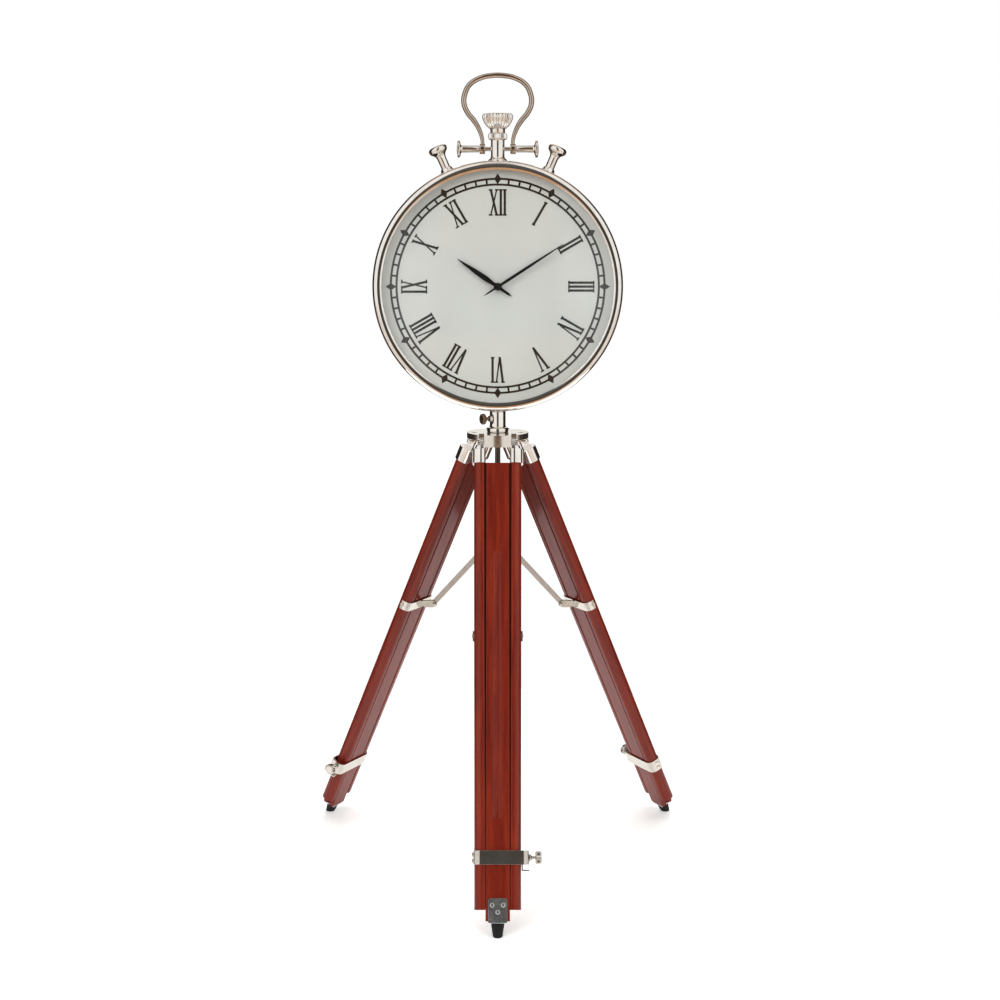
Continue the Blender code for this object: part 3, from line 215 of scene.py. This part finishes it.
def metal(name, code, rough, smear_mm, peel_mm, peel_depth):
    """Make a metal whose gloss and tone vary in smears and whose surface has a faint peel."""
    material, tree, shader = new_finish(name, {"Metallic": 1})
    spot = add(tree, "TexCoord").outputs["Object"]
    smears = add(tree, "TexNoise", {"Scale": 1000 / smear_mm, "Detail": 5, "Roughness": 0.6},
                 {"Vector": spot})
    gloss = add(tree, "MapRange", {"From Min": 0.3, "From Max": 0.7, "To Min": rough[0], "To Max": rough[1]},
                {"Value": smears.outputs["Fac"]})
    tree.links.new(gloss.outputs[0], shader.inputs["Roughness"])
    base = linear(code)
    worn = (*[0.9 * value for value in base[:3]], 1)
    tone = add(tree, "ValToRGB", {"stops": ((0.35, worn), (0.6, base))}, {0: smears.outputs["Fac"]})
    tree.links.new(tone.outputs["Color"], shader.inputs["Base Color"])
    peel = add(tree, "TexNoise", {"Scale": 1000 / peel_mm, "Detail": 2}, {"Vector": spot})
    relief = add(tree, "Bump", {"Strength": 0.5, "Distance": peel_depth}, {"Height": peel.outputs["Fac"]})
    tree.links.new(relief.outputs[0], shader.inputs["Normal"])
    return material


nickel = metal("polished_nickel_plate", "#F0ECE7", rough=(0.03, 0.08), smear_mm=14, peel_mm=5,
               peel_depth=0.00001)
cast_nickel = metal("cast_nickel_plate", "#E4DDD5", rough=(0.14, 0.22), smear_mm=6, peel_mm=1.6,
                    peel_depth=0.00003)

body_of = {node: body for body, nodes in frame["record"]["behaviour"]["bodies"].items() for node in nodes}
smooth_under = math.radians(40)


def shown(bm, name, body, material, place):
    """Make a piece from a bmesh in its own frame, put it in place and let it ride with a body."""
    mesh = bpy.data.meshes.new(name)
    bm.to_mesh(mesh)
    bm.free()
    own = mesh.attributes.new("own_place", "FLOAT_VECTOR", "POINT")
    own.data.foreach_set("vector", [value for vertex in mesh.vertices for value in vertex.co])
    mesh.transform(place)
    mesh.materials.append(material)
    mesh.shade_smooth()
    mesh.set_sharp_from_angle(angle=smooth_under)
    piece = placed(name, mesh)
    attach(piece, body)
    return piece


def stand_for(bm, node, made, material, place):
    """Make a piece that is shown in place of a CAD node and is named for how it is made."""
    piece = shown(bm, node + "_" + made, body_of[node], material, place)
    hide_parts(node)
    return piece


def plated(bm, node, made, place, plate=nickel):
    """Make a nickel plated piece that is shown in place of a CAD node."""
    return stand_for(bm, node, made, plate, place)


def evened(piece):
    """Shade a piece's flat faces flat right up to their eased edges."""
    piece.modifiers.new("even_faces", "WEIGHTED_NORMAL").keep_sharp = True


def sharp_edges(bm, angle):
    """List the edges where two faces meet at more than an angle in degrees."""
    return [edge for edge in bm.edges
            if len(edge.link_faces) == 2 and edge.calc_face_angle() > math.radians(angle)]


def eased(bm, edges, width, segments):
    """Round over some edges."""
    bmesh.ops.bevel(bm, geom=edges, offset=width, offset_type="OFFSET", segments=segments, profile=0.5,
                    affect="EDGES", material=-1, clamp_overlap=True)
    return bm


def merged_copy(node, place):
    """Merge a copy of a CAD node's triangles in its own frame into flat faces."""
    bm = bmesh.new()
    bm.from_mesh(frame["nodes"][node].data)
    bm.transform(place.inverted())
    bmesh.ops.remove_doubles(bm, verts=bm.verts, dist=0.000002)
    bmesh.ops.dissolve_limit(bm, angle_limit=math.radians(0.5), verts=bm.verts, edges=bm.edges)
    return bm


def eased_copy(node, place, width):
    """Copy a CAD node in its own frame and ease its sharp edges."""
    bm = merged_copy(node, place)
    return eased(bm, sharp_edges(bm, angle=25), width, segments=2)


pole = Matrix.Translation((0, pole_y, 0))
head_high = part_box("tripod_head")[1]
evened(plated(eased_copy("tripod_head", pole, width=0.0007), "tripod_head", "plate", pole, cast_nickel))

# Socket tube: turned from bar, with a bead at its foot and a boss brazed on for its thumb screw, polished
# and plated. The hub's guide rod stands below it, in blackened steel, as a dark upright under the head.


def lathe(profile, steps=96, fillet=0.3):
    """Turn a profile of (radius, height, own fillet) in millimetres about Z, with its corners eased."""
    bm = bmesh.new()
    points = [bm.verts.new((point[0] / 1000, 0, point[1] / 1000)) for point in profile]
    for pair in zip(points, points[1:]):
        bm.edges.new(pair)
    if min(profile[0][0], profile[-1][0]) > 0:
        bm.edges.new((points[-1], points[0]))
    for vertex, point in zip(points, profile):
        size = point[2] if len(point) > 2 else fillet
        if size and len(vertex.link_edges) == 2:
            bmesh.ops.bevel(bm, geom=[vertex], offset=size / 1000, offset_type="OFFSET", segments=3,
                            profile=0.5, affect="VERTICES", material=-1, clamp_overlap=True)
    bmesh.ops.spin(bm, geom=bm.verts[:] + bm.edges[:], axis=(0, 0, 1), cent=(0, 0, 0),
                   steps=steps, angle=2 * math.pi, use_merge=True)
    bmesh.ops.remove_doubles(bm, verts=bm.verts, dist=0.000001)
    bmesh.ops.recalc_face_normals(bm, faces=bm.faces)
    return bm


def blend_in(bm, other):
    """Add a second bmesh's faces to the first one."""
    mesh = bpy.data.meshes.new("part")
    other.to_mesh(mesh)
    other.free()
    bm.from_mesh(mesh)
    bpy.data.meshes.remove(mesh)
    return bm


tube_low, tube_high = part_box("socket_tube")
rod_foot = tube_low.z * 1000
tube_top = tube_high.z * 1000
seat_gap = 0.3
tube_foot = head_high.z * 1000 + seat_gap
tube = lathe([(4.0, tube_foot - 6.5, 0), (9.5, tube_foot - 6.5), (9.5, tube_foot), (15.8, tube_foot, 0.8),
              (15.8, tube_foot + 6.5, 1.6), (12.6, tube_foot + 6.9, 0.6), (11.6, tube_foot + 8.2, 0.5),
              (11.6, tube_top, 0.7), (8.6, tube_top, 0.3), (8.6, tube_foot + 2), (4.0, tube_foot + 2, 0)])
blackened = metal("blackened_steel", "#5E5652", rough=(0.25, 0.4), smear_mm=8, peel_mm=2, peel_depth=0.00003)
rod = lathe([(0, rod_foot), (4.0, rod_foot, 1), (4.0, tube_foot + 2, 0), (0, tube_foot + 2)], steps=48)
shown(rod, "guide_rod_turned", body_of["socket_tube"], blackened, pole)

along_x = Matrix.Rotation(math.radians(90), 4, "Y")
screw_drop = 0.0103
screw_bearing = math.radians(210)
screw_axis = Matrix.Translation((0, 0, tube_top / 1000 - screw_drop)) \
    @ Matrix.Rotation(screw_bearing, 4, "Z") @ along_x
boss = lathe([(2.7, 10.1), (4.5, 10.1), (4.5, 14.6, 0.5), (2.7, 14.6)], steps=48)
bmesh.ops.transform(boss, matrix=screw_axis, verts=boss.verts)
plated(blend_in(tube, boss), "socket_tube", "turned", pole)

# Socket thumb screw: turned with a ribbed knob and screwed through the boss, where it clamps the clock's
# stem. Browned bronze, so it is a dull warm spot between the bright pieces.


def ribbed(bm, ribs, depth, low, high, inner):
    """Press ribs into a turned knob between two heights, outside an inner radius, in millimetres."""
    for vertex in bm.verts:
        radius = math.hypot(vertex.co.x, vertex.co.y) * 1000
        height = vertex.co.z * 1000
        if radius > inner and low <= height <= high:
            wave = 0.5 - 0.5 * math.cos(ribs * math.atan2(vertex.co.y, vertex.co.x))
            vertex.co.xy *= 1 - depth * wave / radius


bronze = metal("browned_bronze", "#8A7763", rough=(0.3, 0.45), smear_mm=6, peel_mm=1.5, peel_depth=0.00004)
screw = lathe([(0, 8.6), (2.4, 8.6, 0.3), (2.4, 21.5), (6.4, 21.5, 0.4), (8.0, 22.6, 0.6), (8.0, 26.4, 0.6),
               (6.4, 27.5, 0.6), (0, 27.5)], steps=120)
ribbed(screw, ribs=20, depth=0.9, low=21, high=28, inner=5.5)
stand_for(screw, "socket_screw", "turned", bronze, pole @ screw_axis)

# Legs: two outer rails of hardwood with a centre rail that slides between them, planed round at the edges,
# stained red and lacquered to a gloss. The grain runs down the leg and follows each leg's own frame, and its
# pores are long brown lines, drawn coarser than real ones so that they show.
figure_mm = 6.25
figure_stretch = 0.06
pore_mm = 2 / 3
pore_stretch = 0.03
wood, tree, shader = new_finish("red_lacquered_hardwood", {
    "Roughness": 0.45, "Specular IOR Level": 0.1, "Coat Weight": 0.4, "Coat Roughness": 0.1})
own = add(tree, "Attribute", {"attribute_name": "own_place"})
figure_place = add(tree, "Mapping", {"Scale": (1, 1, figure_stretch)}, {"Vector": own.outputs["Vector"]})
figure = add(tree, "TexNoise", {"Scale": 1000 / figure_mm, "Detail": 6, "Roughness": 0.55, "Distortion": 0.4},
             {"Vector": figure_place.outputs[0]})
pore_place = add(tree, "Mapping", {"Scale": (1, 1, pore_stretch)}, {"Vector": own.outputs["Vector"]})
pores = add(tree, "TexNoise", {"Scale": 1000 / pore_mm, "Detail": 3, "Roughness": 0.6},
            {"Vector": pore_place.outputs[0]})
stain = add(tree, "ValToRGB", {"stops": ((0.32, linear("#65170B")), (0.5, linear("#731F0E")),
                                         (0.68, linear("#822712")))}, {0: figure.outputs["Fac"]})
pore_tone = add(tree, "MapRange", {"From Min": 0.34, "From Max": 0.46, "To Min": 0.6, "To Max": 1},
                {"Value": pores.outputs["Fac"]})
tint = add(tree, "Mix", {"data_type": "RGBA", "blend_type": "MULTIPLY", 0: 1},
           {6: stain.outputs["Color"], 7: pore_tone.outputs[0]})
tree.links.new(tint.outputs[2], shader.inputs["Base Color"])
relief = add(tree, "Bump", {"Strength": 0.35, "Distance": 0.00005}, {"Height": pores.outputs["Fac"]})
tree.links.new(relief.outputs[0], shader.inputs["Normal"])

bolt_low, bolt_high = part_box("front_leg_hinge_bolt")
hinge = (bolt_low + bolt_high) / 2
leg_lean = math.radians(24.3)
legs = {}
for number, leg in enumerate(("front_leg", "right_leg", "left_leg")):
    turn = Matrix.Rotation(2 * math.pi * number / 3, 4, "Z")
    legs[leg] = pole @ turn @ Matrix.Translation((0, hinge.y - pole_y, hinge.z)) \
        @ Matrix.Rotation(-leg_lean, 4, "X")


def outer_edges(bm, angle, skin):
    """List the sharp edges that lie within a skin's depth of the outer faces."""
    face = max(vertex.co.y for vertex in bm.verts) - skin
    return [edge for edge in sharp_edges(bm, angle) if min(abs(vertex.co.y) for vertex in edge.verts) > face]


# The tongues' upper ends are raised to close the gap under the caps.
tongue_half = 0.0021
tongue_start = -0.05
tongue_rise = 0.0022
long_edge = 0.1
for leg, place in legs.items():
    for rail, corner in (("_left_rail", 0.0022), ("_right_rail", 0.0022), ("_centre_rail", 0.0011)):
        bar = merged_copy(leg + rail, place)
        if rail != "_centre_rail":
            tongue = [vertex for vertex in bar.verts
                      if abs(vertex.co.y) < tongue_half and vertex.co.z > tongue_start]
            bmesh.ops.translate(bar, verts=tongue, vec=(0, 0, tongue_rise))
        long = [edge for edge in outer_edges(bar, angle=38, skin=0.0005) if edge.calc_length() > long_edge]
        eased(bar, long, width=corner, segments=4)
        eased(bar, sharp_edges(bar, angle=38), width=0.0005, segments=2)
        evened(stand_for(bar, leg + rail, "lacquered", wood, place))

# Rail caps and hinge bolts: the caps are cast, buffed and plated, and sit over the rails' upper ends. Each
# bolt is turned, with domed nuts at both ends, and goes through the two caps and the head's lugs.


def rounded_copy(node, place, length, corner, width):
    """Copy a CAD node, round its outer upright corners that run at least a length, and ease the rest."""
    bm = merged_copy(node, place)
    upright = [edge for edge in outer_edges(bm, angle=60, skin=0.001)
               if abs(edge.verts[0].co.z - edge.verts[1].co.z) > length]
    eased(bm, upright, width=corner, segments=8)
    return eased(bm, sharp_edges(bm, angle=30), width, segments=2)


def both_ends(half):
    """Mirror the profile of a turned piece's upper half, given from its tip, to make it whole."""
    return [(radius, -height, *own) for radius, height, *own in half] + half[::-1]


for leg, place in legs.items():
    for node in (leg + "_left_cap", leg + "_right_cap"):
        cap = rounded_copy(node, place, length=0.015, corner=0.006, width=0.0006)
        evened(plated(cap, node, "cast", place))
    bolt = lathe(both_ends([(0, 32.5), (2.4, 32.0, 1.2), (3.9, 29.2, 0.5), (4.0, 25.3, 0.3), (2.8, 25.3)]),
                 steps=48)
    plated(bolt, leg + "_hinge_bolt", "turned", place @ along_x)

# Ankle clamps and foot plates: a clamp is a band bent round its leg, buffed and plated, so it glints less
# than the polished pieces. A foot plate is satin steel, bent round the end of the centre rail. Both carry
# the heads of their screws.
steel = metal("satin_steel", "#BEC0C0", rough=(0.2, 0.28), smear_mm=12, peel_mm=2, peel_depth=0.00002)
band_nickel = metal("buffed_nickel_band", "#D0CAC2", rough=(0.07, 0.14), smear_mm=12, peel_mm=4,
                    peel_depth=0.00002)
for leg, place in legs.items():
    clamp = rounded_copy(leg + "_ankle_clamp", place, length=0.008, corner=0.0045, width=0.0004)
    evened(stand_for(clamp, leg + "_ankle_clamp", "bent", band_nickel, place))
    plate = eased_copy(leg + "_foot_plate", place, width=0.0006)
    evened(stand_for(plate, leg + "_foot_plate", "bent", steel, place))

# Rubber feet: moulded in black rubber with a fine matt skin, under the ends of the foot plates. The skin's
# grit is drawn about 1.1 mm wide, coarser than the real one, so that it shows.


def grained(name, dark, light, grain, rough, relief=None, cloud=None, settings=None):
    """Make a finish whose gloss and relief follow a fine grain, and its tone that grain or a wider cloud.

    Grain and cloud are (size in millimetres, detail), and relief is (strength, depth in metres).
    """
    material, tree, shader = new_finish(name, settings or {})
    spot = add(tree, "TexCoord").outputs["Object"]
    noises = [add(tree, "TexNoise", {"Scale": 1000 / size, "Detail": detail}, {"Vector": spot})
              for size, detail in ([grain, cloud] if cloud else [grain])]
    fine, wide = noises[0].outputs["Fac"], noises[-1].outputs["Fac"]
    tone = add(tree, "ValToRGB", {"stops": ((0.3, linear(dark)), (0.7, linear(light)))}, {0: wide})
    tree.links.new(tone.outputs["Color"], shader.inputs["Base Color"])
    dull = add(tree, "MapRange", {"To Min": rough[0], "To Max": rough[1]}, {"Value": fine})
    tree.links.new(dull.outputs[0], shader.inputs["Roughness"])
    if relief:
        bump = add(tree, "Bump", {"Strength": relief[0], "Distance": relief[1]}, {"Height": fine})
        tree.links.new(bump.outputs[0], shader.inputs["Normal"])
    return material


rubber = grained("moulded_rubber", "#0A0A0A", "#151515", grain=(10 / 9, 4), rough=(0.55, 0.85),
                 relief=(0.6, 0.0001), settings={"Specular IOR Level": 0.3})
for leg, place in legs.items():
    node = leg + "_rubber_foot"
    stand_for(eased_copy(node, place, width=0.0006), node, "moulded", rubber, place)

# Ankle thumb screws: turned from brass and plated, with a collar and a ribbed head. Each goes across its
# leg through the clamp, and clamps the centre rail.
screw_low, screw_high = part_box("front_leg_ankle_screw")
tip = screw_low.x * 1000
end = screw_high.x * 1000
screw_rise = (legs["front_leg"].inverted() @ ((screw_low + screw_high) / 2)).z
for leg, place in legs.items():
    screw = lathe([(0, tip), (4.2, tip, 0.3), (4.2, tip + 1.8, 0.3), (2.2, tip + 1.8), (2.2, end - 16.2),
                   (4.8, end - 16.2, 0.4), (4.8, end - 14.7, 0.6), (2.2, end - 13.2), (2.2, end - 8.4, 0.5),
                   (6.8, end - 8.4, 0.5), (8.4, end - 6.9, 0.8), (8.4, end - 1.5, 0.8), (6.8, end, 0.8),
                   (0, end)], steps=120)
    ribbed(screw, ribs=20, depth=1.0, low=end - 8.5, high=end + 1, inner=5.2)
    across = place @ Matrix.Translation((0, 0, screw_rise)) @ along_x
    plated(screw, leg + "_ankle_screw", "turned", across, band_nickel)

# Brace clamps, struts and the hub they meet in: the clamps are bent bands like those at the ankles, the
# struts are flat bar plated satin, pinned to the clamps and the hub, and the hub is turned and polished.
brushed = metal("satin_nickel_bar", "#B8AFA7", rough=(0.3, 0.42), smear_mm=10, peel_mm=2, peel_depth=0.00002)
for leg, place in legs.items():
    for node, plate in ((leg + "_brace_clamp", band_nickel), (leg + "_strut", brushed)):
        evened(plated(eased_copy(node, place, width=0.0004), node, "formed", place, plate))
evened(plated(eased_copy("spreader_hub", pole, width=0.0005), "spreader_hub", "turned", pole))

# Clock case: a drum spun from sheet and polished, with a shelf inside for the dial, and with the pushers'
# collars brazed on to the left and right of the pendant. Plated as one piece.
dial_low, dial_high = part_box("dial")
clock = pole @ Matrix.Translation((0, 0, (dial_low.z + dial_high.z) / 2))
facing = clock @ Matrix.Rotation(math.radians(90), 4, "X")
pusher_tilt = 23.7
drum = lathe([(175.5, -26, 0.4), (175.5, 26, 0.4), (173.3, 26), (173.3, 14.2), (164, 14.2), (164, 10.2),
              (173.3, 10.2), (173.3, -26)], steps=256)
for side in (-1, 1):
    collar = lathe([(6.8, 174.4), (10.2, 174.4), (10.2, 179.6, 0.9), (8.9, 181.4, 0.8), (7.9, 184.4, 0.4),
                    (6.8, 184.4)], steps=64)
    tilt = Matrix.Rotation(math.radians(-90), 4, "X") \
        @ Matrix.Rotation(math.radians(pusher_tilt * side), 4, "Y")
    bmesh.ops.transform(collar, matrix=tilt, verts=collar.verts)
    drum = blend_in(drum, collar)
plated(drum, "case_band", "spun", facing)

# Bezel: a turned ring with a rounded lip, polished and plated like the drum. Its skirt goes into the drum's
# mouth, and its lip holds the glass.
bezel = lathe([(177.2, 26.3, 0.2), (178.65, 28.3), (178.7, 30.1), (178.0, 32.3), (176.9, 34.1), (175.3, 35.5),
               (173.5, 36.5), (171.6, 36.9), (168.9, 36.9), (167.2, 36.65), (165.5, 36.2, 0),
               (165.5, 31.2, 0), (171.1, 31.2, 0), (171.1, 14.5, 0), (173.0, 14.5, 0), (173.0, 26.3, 0)],
              steps=256, fillet=0.5)
plated(bezel, "bezel", "turned", facing)

# Glass: a flat disc of float glass behind the bezel's lip, clean, with the faintest smears. It lets the
# studio light straight through to the dial, so it casts no shadow of its own.
glass, tree, shader = new_finish("float_glass", {
    "Base Color": linear("#FCFDFC"), "Transmission Weight": 1, "IOR": 1.52})
spot = add(tree, "TexCoord").outputs["Object"]
smear_mm = 100 / 3
smear = add(tree, "TexNoise", {"Scale": 1000 / smear_mm, "Detail": 5}, {"Vector": spot})
gloss = add(tree, "MapRange", {"To Min": 0, "To Max": 0.02}, {"Value": smear.outputs["Fac"]})
tree.links.new(gloss.outputs[0], shader.inputs["Roughness"])
pane = stand_for(lathe([(0, 28.2), (170.8, 28.2, 0.3), (170.8, 30.9, 0.3), (0, 30.9)], steps=256),
                 "glass", "disc", glass, facing)
pane.visible_shadow = False

# Spacer ring: turned and plated like the bezel. It lies between the dial and the glass, and keeps them
# apart for the hands.
spacer = lathe([(165.8, 16.3, 0.2), (170.8, 16.3), (170.8, 27.9), (165.8, 27.9, 0.4)], steps=256)
plated(spacer, "glass_ring", "turned", facing)

# Dial: a metal disc sprayed warm white and screen printed in black with a minute track and Roman hours.
# The paint is dull, with wide clouds that hardly show and fine flecks, and the ink has a low gloss.
paint = grained("sprayed_dial_enamel", "#BBBDBA", "#C1C3C0", grain=(5 / 6, 2), rough=(0.38, 0.5),
                relief=(0.2, 0.00003), cloud=(125, 3))
dial = lathe([(4.3, 14.5), (170.8, 14.5), (170.8, 16.0), (4.3, 16.0)], steps=256, fillet=0.1)
stand_for(dial, "dial", "disc", paint, facing)

ink = grained("screen_ink", "#060607", "#0D0D0E", grain=(10 / 7, 3), rough=(0.3, 0.45),
              settings={"Specular IOR Level": 0.15})
print_low = 16.02
print_high = 16.10
screen = bmesh.new()


def printed(points, turn, out=0):
    """Print a flat shape given in millimetres, moved out from the dial's middle and turned clockwise."""
    corners = [screen.verts.new((x / 1000, (y + out) / 1000, print_low / 1000)) for x, y in points]
    face = screen.faces.new(corners)
    made = bmesh.ops.extrude_face_region(screen, geom=[face])
    front = [item for item in made["geom"] if isinstance(item, bmesh.types.BMVert)]
    bmesh.ops.translate(screen, verts=front, vec=(0, 0, (print_high - print_low) / 1000))
    whole = {vertex for item in front for edge in item.link_edges for vertex in edge.verts}
    bmesh.ops.rotate(screen, verts=list(whole), cent=(0, 0, 0), matrix=Matrix.Rotation(-turn, 3, "Z"))


def block(left, low, right, high):
    """List the corners of an upright block."""
    return [(left, low), (right, low), (right, high), (left, high)]


numeral_height = 37.3
numeral_out = 99.9
serif = 2.2
thick = 3.4
thin = 2.1
# A letter is its width, how far its strokes lean, half the length of its serifs, its strokes as (side of
# the foot, side of the head, thickness), and its serifs as (side, whether it is at the head).
letters = {
    "I": (5.6, 0, 2.7, [(0, 0, thick)], [(0, False), (0, True)]),
    "V": (14.6, 4.7, 2.8, [(0, -1, thick), (0, 1, thin)], [(-1, True), (1, True)]),
    "X": (14.4, 4.4, 2.8, [(1, -1, thick), (-1, 1, thin)],
          [(-1, False), (-1, True), (1, False), (1, True)]),
}


def letter(kind, left, turn):
    """Print one Roman letter with slab serifs, its left edge at a given place."""
    width, lean, reach, strokes, serifs = letters[kind]
    middle = left + width / 2
    for foot, head, weight in strokes:
        low, high, half = middle + foot * lean, middle + head * lean, weight / 2
        printed([(low - half, 0), (low + half, 0), (high + half, numeral_height),
                 (high - half, numeral_height)], turn, numeral_out)
    for side, at_head in serifs:
        x = middle + side * lean
        edge = numeral_height if at_head else serif
        printed(block(x - reach, edge - serif, x + reach, edge), turn, numeral_out)
    return left + width


diamond = [(0, 143.8), (5.1, 151.5), (0, 159.2), (-5.1, 151.5)]
tick = block(-1.4, 143.6, 1.4, 151.2)
track_lines = ((142.0, 145.0), (150.0, 153.0))
hours = ("XII", "I", "II", "III", "IV", "V", "VI", "VII", "VIII", "IX", "X", "XI")
for number, hour in enumerate(hours):
    turn = math.radians(30 * number)
    left = -sum(letters[kind][0] for kind in hour) / 2
    for kind in hour:
        left = letter(kind, left, turn)
    printed(diamond, turn)
for minute in range(60):
    if minute % 5:
        printed(tick, math.radians(6 * minute))
for inner, outer in track_lines:
    track = lathe([(inner, print_low), (outer, print_low), (outer, print_high), (inner, print_high)],
                  steps=256, fillet=0)
    screen = blend_in(screen, track)
bmesh.ops.recalc_face_normals(screen, faces=screen.faces)
shown(screen, "dial_print", "clock", ink, facing)

# Hands: blanked from thin steel, painted black like the print, and pressed on their hubs in the middle of
# the dial, the minute hand over the hour hand.
for node in ("hour_hand", "minute_hand"):
    hand = eased_copy(node, clock, width=0.0002)
    evened(stand_for(hand, node, "blanked", ink, clock))

# Pendant and crown: the pendant is turned, with a flange on the case, a stem and a ribbed collar. The crown
# is turned to a bell and fluted, and turns on the pendant's neck. Both are polished and plated.
stem = lathe([(0, 175.8), (13.9, 175.8, 0.8), (13.9, 180.2, 1.8), (10.8, 182.8, 0.8), (9.8, 184.8, 0.6),
              (9.8, 208.2, 0.4), (12.9, 209.6, 0.5), (13.7, 211.2, 0.8), (13.7, 216.6, 0.9),
              (12.6, 217.8, 0.3), (0, 217.8)], steps=216)
ribbed(stem, ribs=36, depth=0.7, low=209, high=218, inner=12)
plated(stem, "crown_stem", "turned", clock)
crown = lathe([(0, 218.1), (10.7, 218.1, 0.3), (10.7, 223.9, 0.4), (12.4, 224.9, 0.6), (15.4, 227.4, 1.2),
               (18.4, 231.2, 1.8), (20.9, 235.8, 1.8), (22.3, 240.2, 1.4), (22.1, 243.2, 1.0),
               (20.4, 245.5, 0.9), (17.0, 246.2, 0.8), (12.5, 245.6, 0.8), (0, 245.2)], steps=288)
ribbed(crown, ribs=24, depth=1.6, low=225, high=247, inner=12)
plated(crown, "crown_knob", "fluted", clock)

# Bow bar and bow: the bar is turned, with a flange at each end, and goes through the pendant's stem. The bow
# is bent from wire that gets thinner to its ends, with an eye brazed on each, and swings on the bar. Its
# plate is rubbed, so it is darker and warmer than the rest.
bar_rise = 0.1959
bow_place = clock @ Matrix.Translation((0, 0, bar_rise))
bar = lathe(both_ends([(0, 58.5), (4.6, 58.5, 0.6), (12.2, 57.2, 0.7), (12.2, 53.9, 0.9), (5.6, 52.4, 0.8),
                       (5.0, 50.6, 0.4), (5.0, 26.7, 0.5), (3.2, 26.7)]), steps=64)
plated(bar, "bow_bar", "turned", bow_place @ along_x)

bow_half_width = 0.0481
bow_height = 0.1036
wire_radius = 0.0038
thin_share = 0.6
taper_height = 0.04
eye_place = 0.0219
# The bow's left side from its end to its top, as shares of its half width and its height.
outline = ((0.4515, 0), (0.4577, 0.128), (0.5464, 0.2596), (0.701, 0.3846), (0.8866, 0.4904), (1, 0.62),
           (0.965, 0.76), (0.8247, 0.877), (0.52, 0.964), (0.18, 0.9975))
knots = [(-bow_half_width * x, bow_height * z) for x, z in outline]
knots += [(-x, z) for x, z in reversed(knots)]
curve = bpy.data.curves.new("bow_line", "CURVE")
curve.dimensions = "3D"
curve.bevel_depth = wire_radius
curve.bevel_resolution = 7
curve.use_fill_caps = True
spline = curve.splines.new("BEZIER")
spline.bezier_points.add(len(knots) - 1)
spline.resolution_u = 10
for point, (x, z) in zip(spline.bezier_points, knots):
    point.co = (x, 0, z)
    point.handle_left_type = point.handle_right_type = "AUTO"
    point.radius = min(1, thin_share + (1 - thin_share) * z / taper_height)
line = placed("bow_line", curve)
bpy.context.view_layer.update()
loop_mesh = bpy.data.meshes.new_from_object(line)
bpy.data.objects.remove(line)
loop = bmesh.new()
loop.from_mesh(loop_mesh)
for side in (-1, 1):
    eye = lathe([(3.5, -3.9), (7.3, -3.9, 0.8), (7.3, 3.9, 0.8), (3.5, 3.9)], steps=64)
    beside = Matrix.Translation((side * eye_place, 0, 0)) @ along_x
    bmesh.ops.transform(eye, matrix=beside, verts=eye.verts)
    loop = blend_in(loop, eye)
bow_nickel = metal("rubbed_nickel_wire", "#C0B0A2", rough=(0.05, 0.12), smear_mm=14, peel_mm=5,
                   peel_depth=0.00001)
plated(loop, "bow", "bent", bow_place, bow_nickel)

# Pushers: turned with a trumpet flare and a dished cap, polished and plated. Each slides in its collar on
# the drum.
for side, node in ((-1, "pusher_left"), (1, "pusher_right")):
    push = lathe([(0, 179.3), (6.5, 179.3, 0.3), (6.5, 200.6, 2), (8.2, 205.4, 2), (12.4, 208.6, 1.2),
                  (13.6, 211.2, 1.2), (13.6, 214.7, 1.2), (11.4, 217.2, 1.5), (6.0, 218.2, 2), (0, 218.3)])
    plated(push, node, "turned", clock @ Matrix.Rotation(math.radians(pusher_tilt * side), 4, "Y"))

# Case stem: turned from bar with a shoulder, polished and plated, and brazed under the drum. It stands in
# the socket tube with its shoulder on the tube's rim, and the clock turns with it.
clock_rise = clock.translation.z * 1000
stem_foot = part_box("case_stem")[0].z * 1000 - clock_rise
shoulder = tube_top + seat_gap - clock_rise
stem = lathe([(0, stem_foot), (8.3, stem_foot, 0.8), (8.3, shoulder), (12.8, shoulder, 0.7),
              (12.8, shoulder + 4, 1.2), (12.8, -175.8), (0, -175.8)])
plated(stem, "case_stem", "turned", clock)

# Back cover and battery door: pressed from sheet, with the door on a hinge in the middle of the cover.
# Satin plate, which blurs what it mirrors.
satin = metal("satin_nickel_sheet", "#D6D0C9", rough=(0.36, 0.46), smear_mm=16, peel_mm=3, peel_depth=0.00002)
for node in ("back_cover", "battery_door"):
    evened(plated(eased_copy(node, clock, width=0.0004), node, "pressed", clock, satin))

# Movement behind the dial: its case and knob are moulded in dark plastic with a fine spark texture, the
# battery has a foil sleeve, and the nut that holds the movement to the dial is plated.
plastic = grained("moulded_movement_plastic", "#1D1E20", "#26272A", grain=(2 / 3, 2), rough=(0.45, 0.6),
                  relief=(0.4, 0.00005))
sleeve = metal("battery_sleeve_foil", "#B08A3A", rough=(0.25, 0.4), smear_mm=10, peel_mm=3,
               peel_depth=0.00002)
for node, material in (("movement_case", plastic), ("time_set_knob", plastic), ("battery", sleeve),
                       ("dial_nut", nickel)):
    piece = frame["nodes"][node]
    piece.data.materials.clear()
    piece.data.materials.append(material)
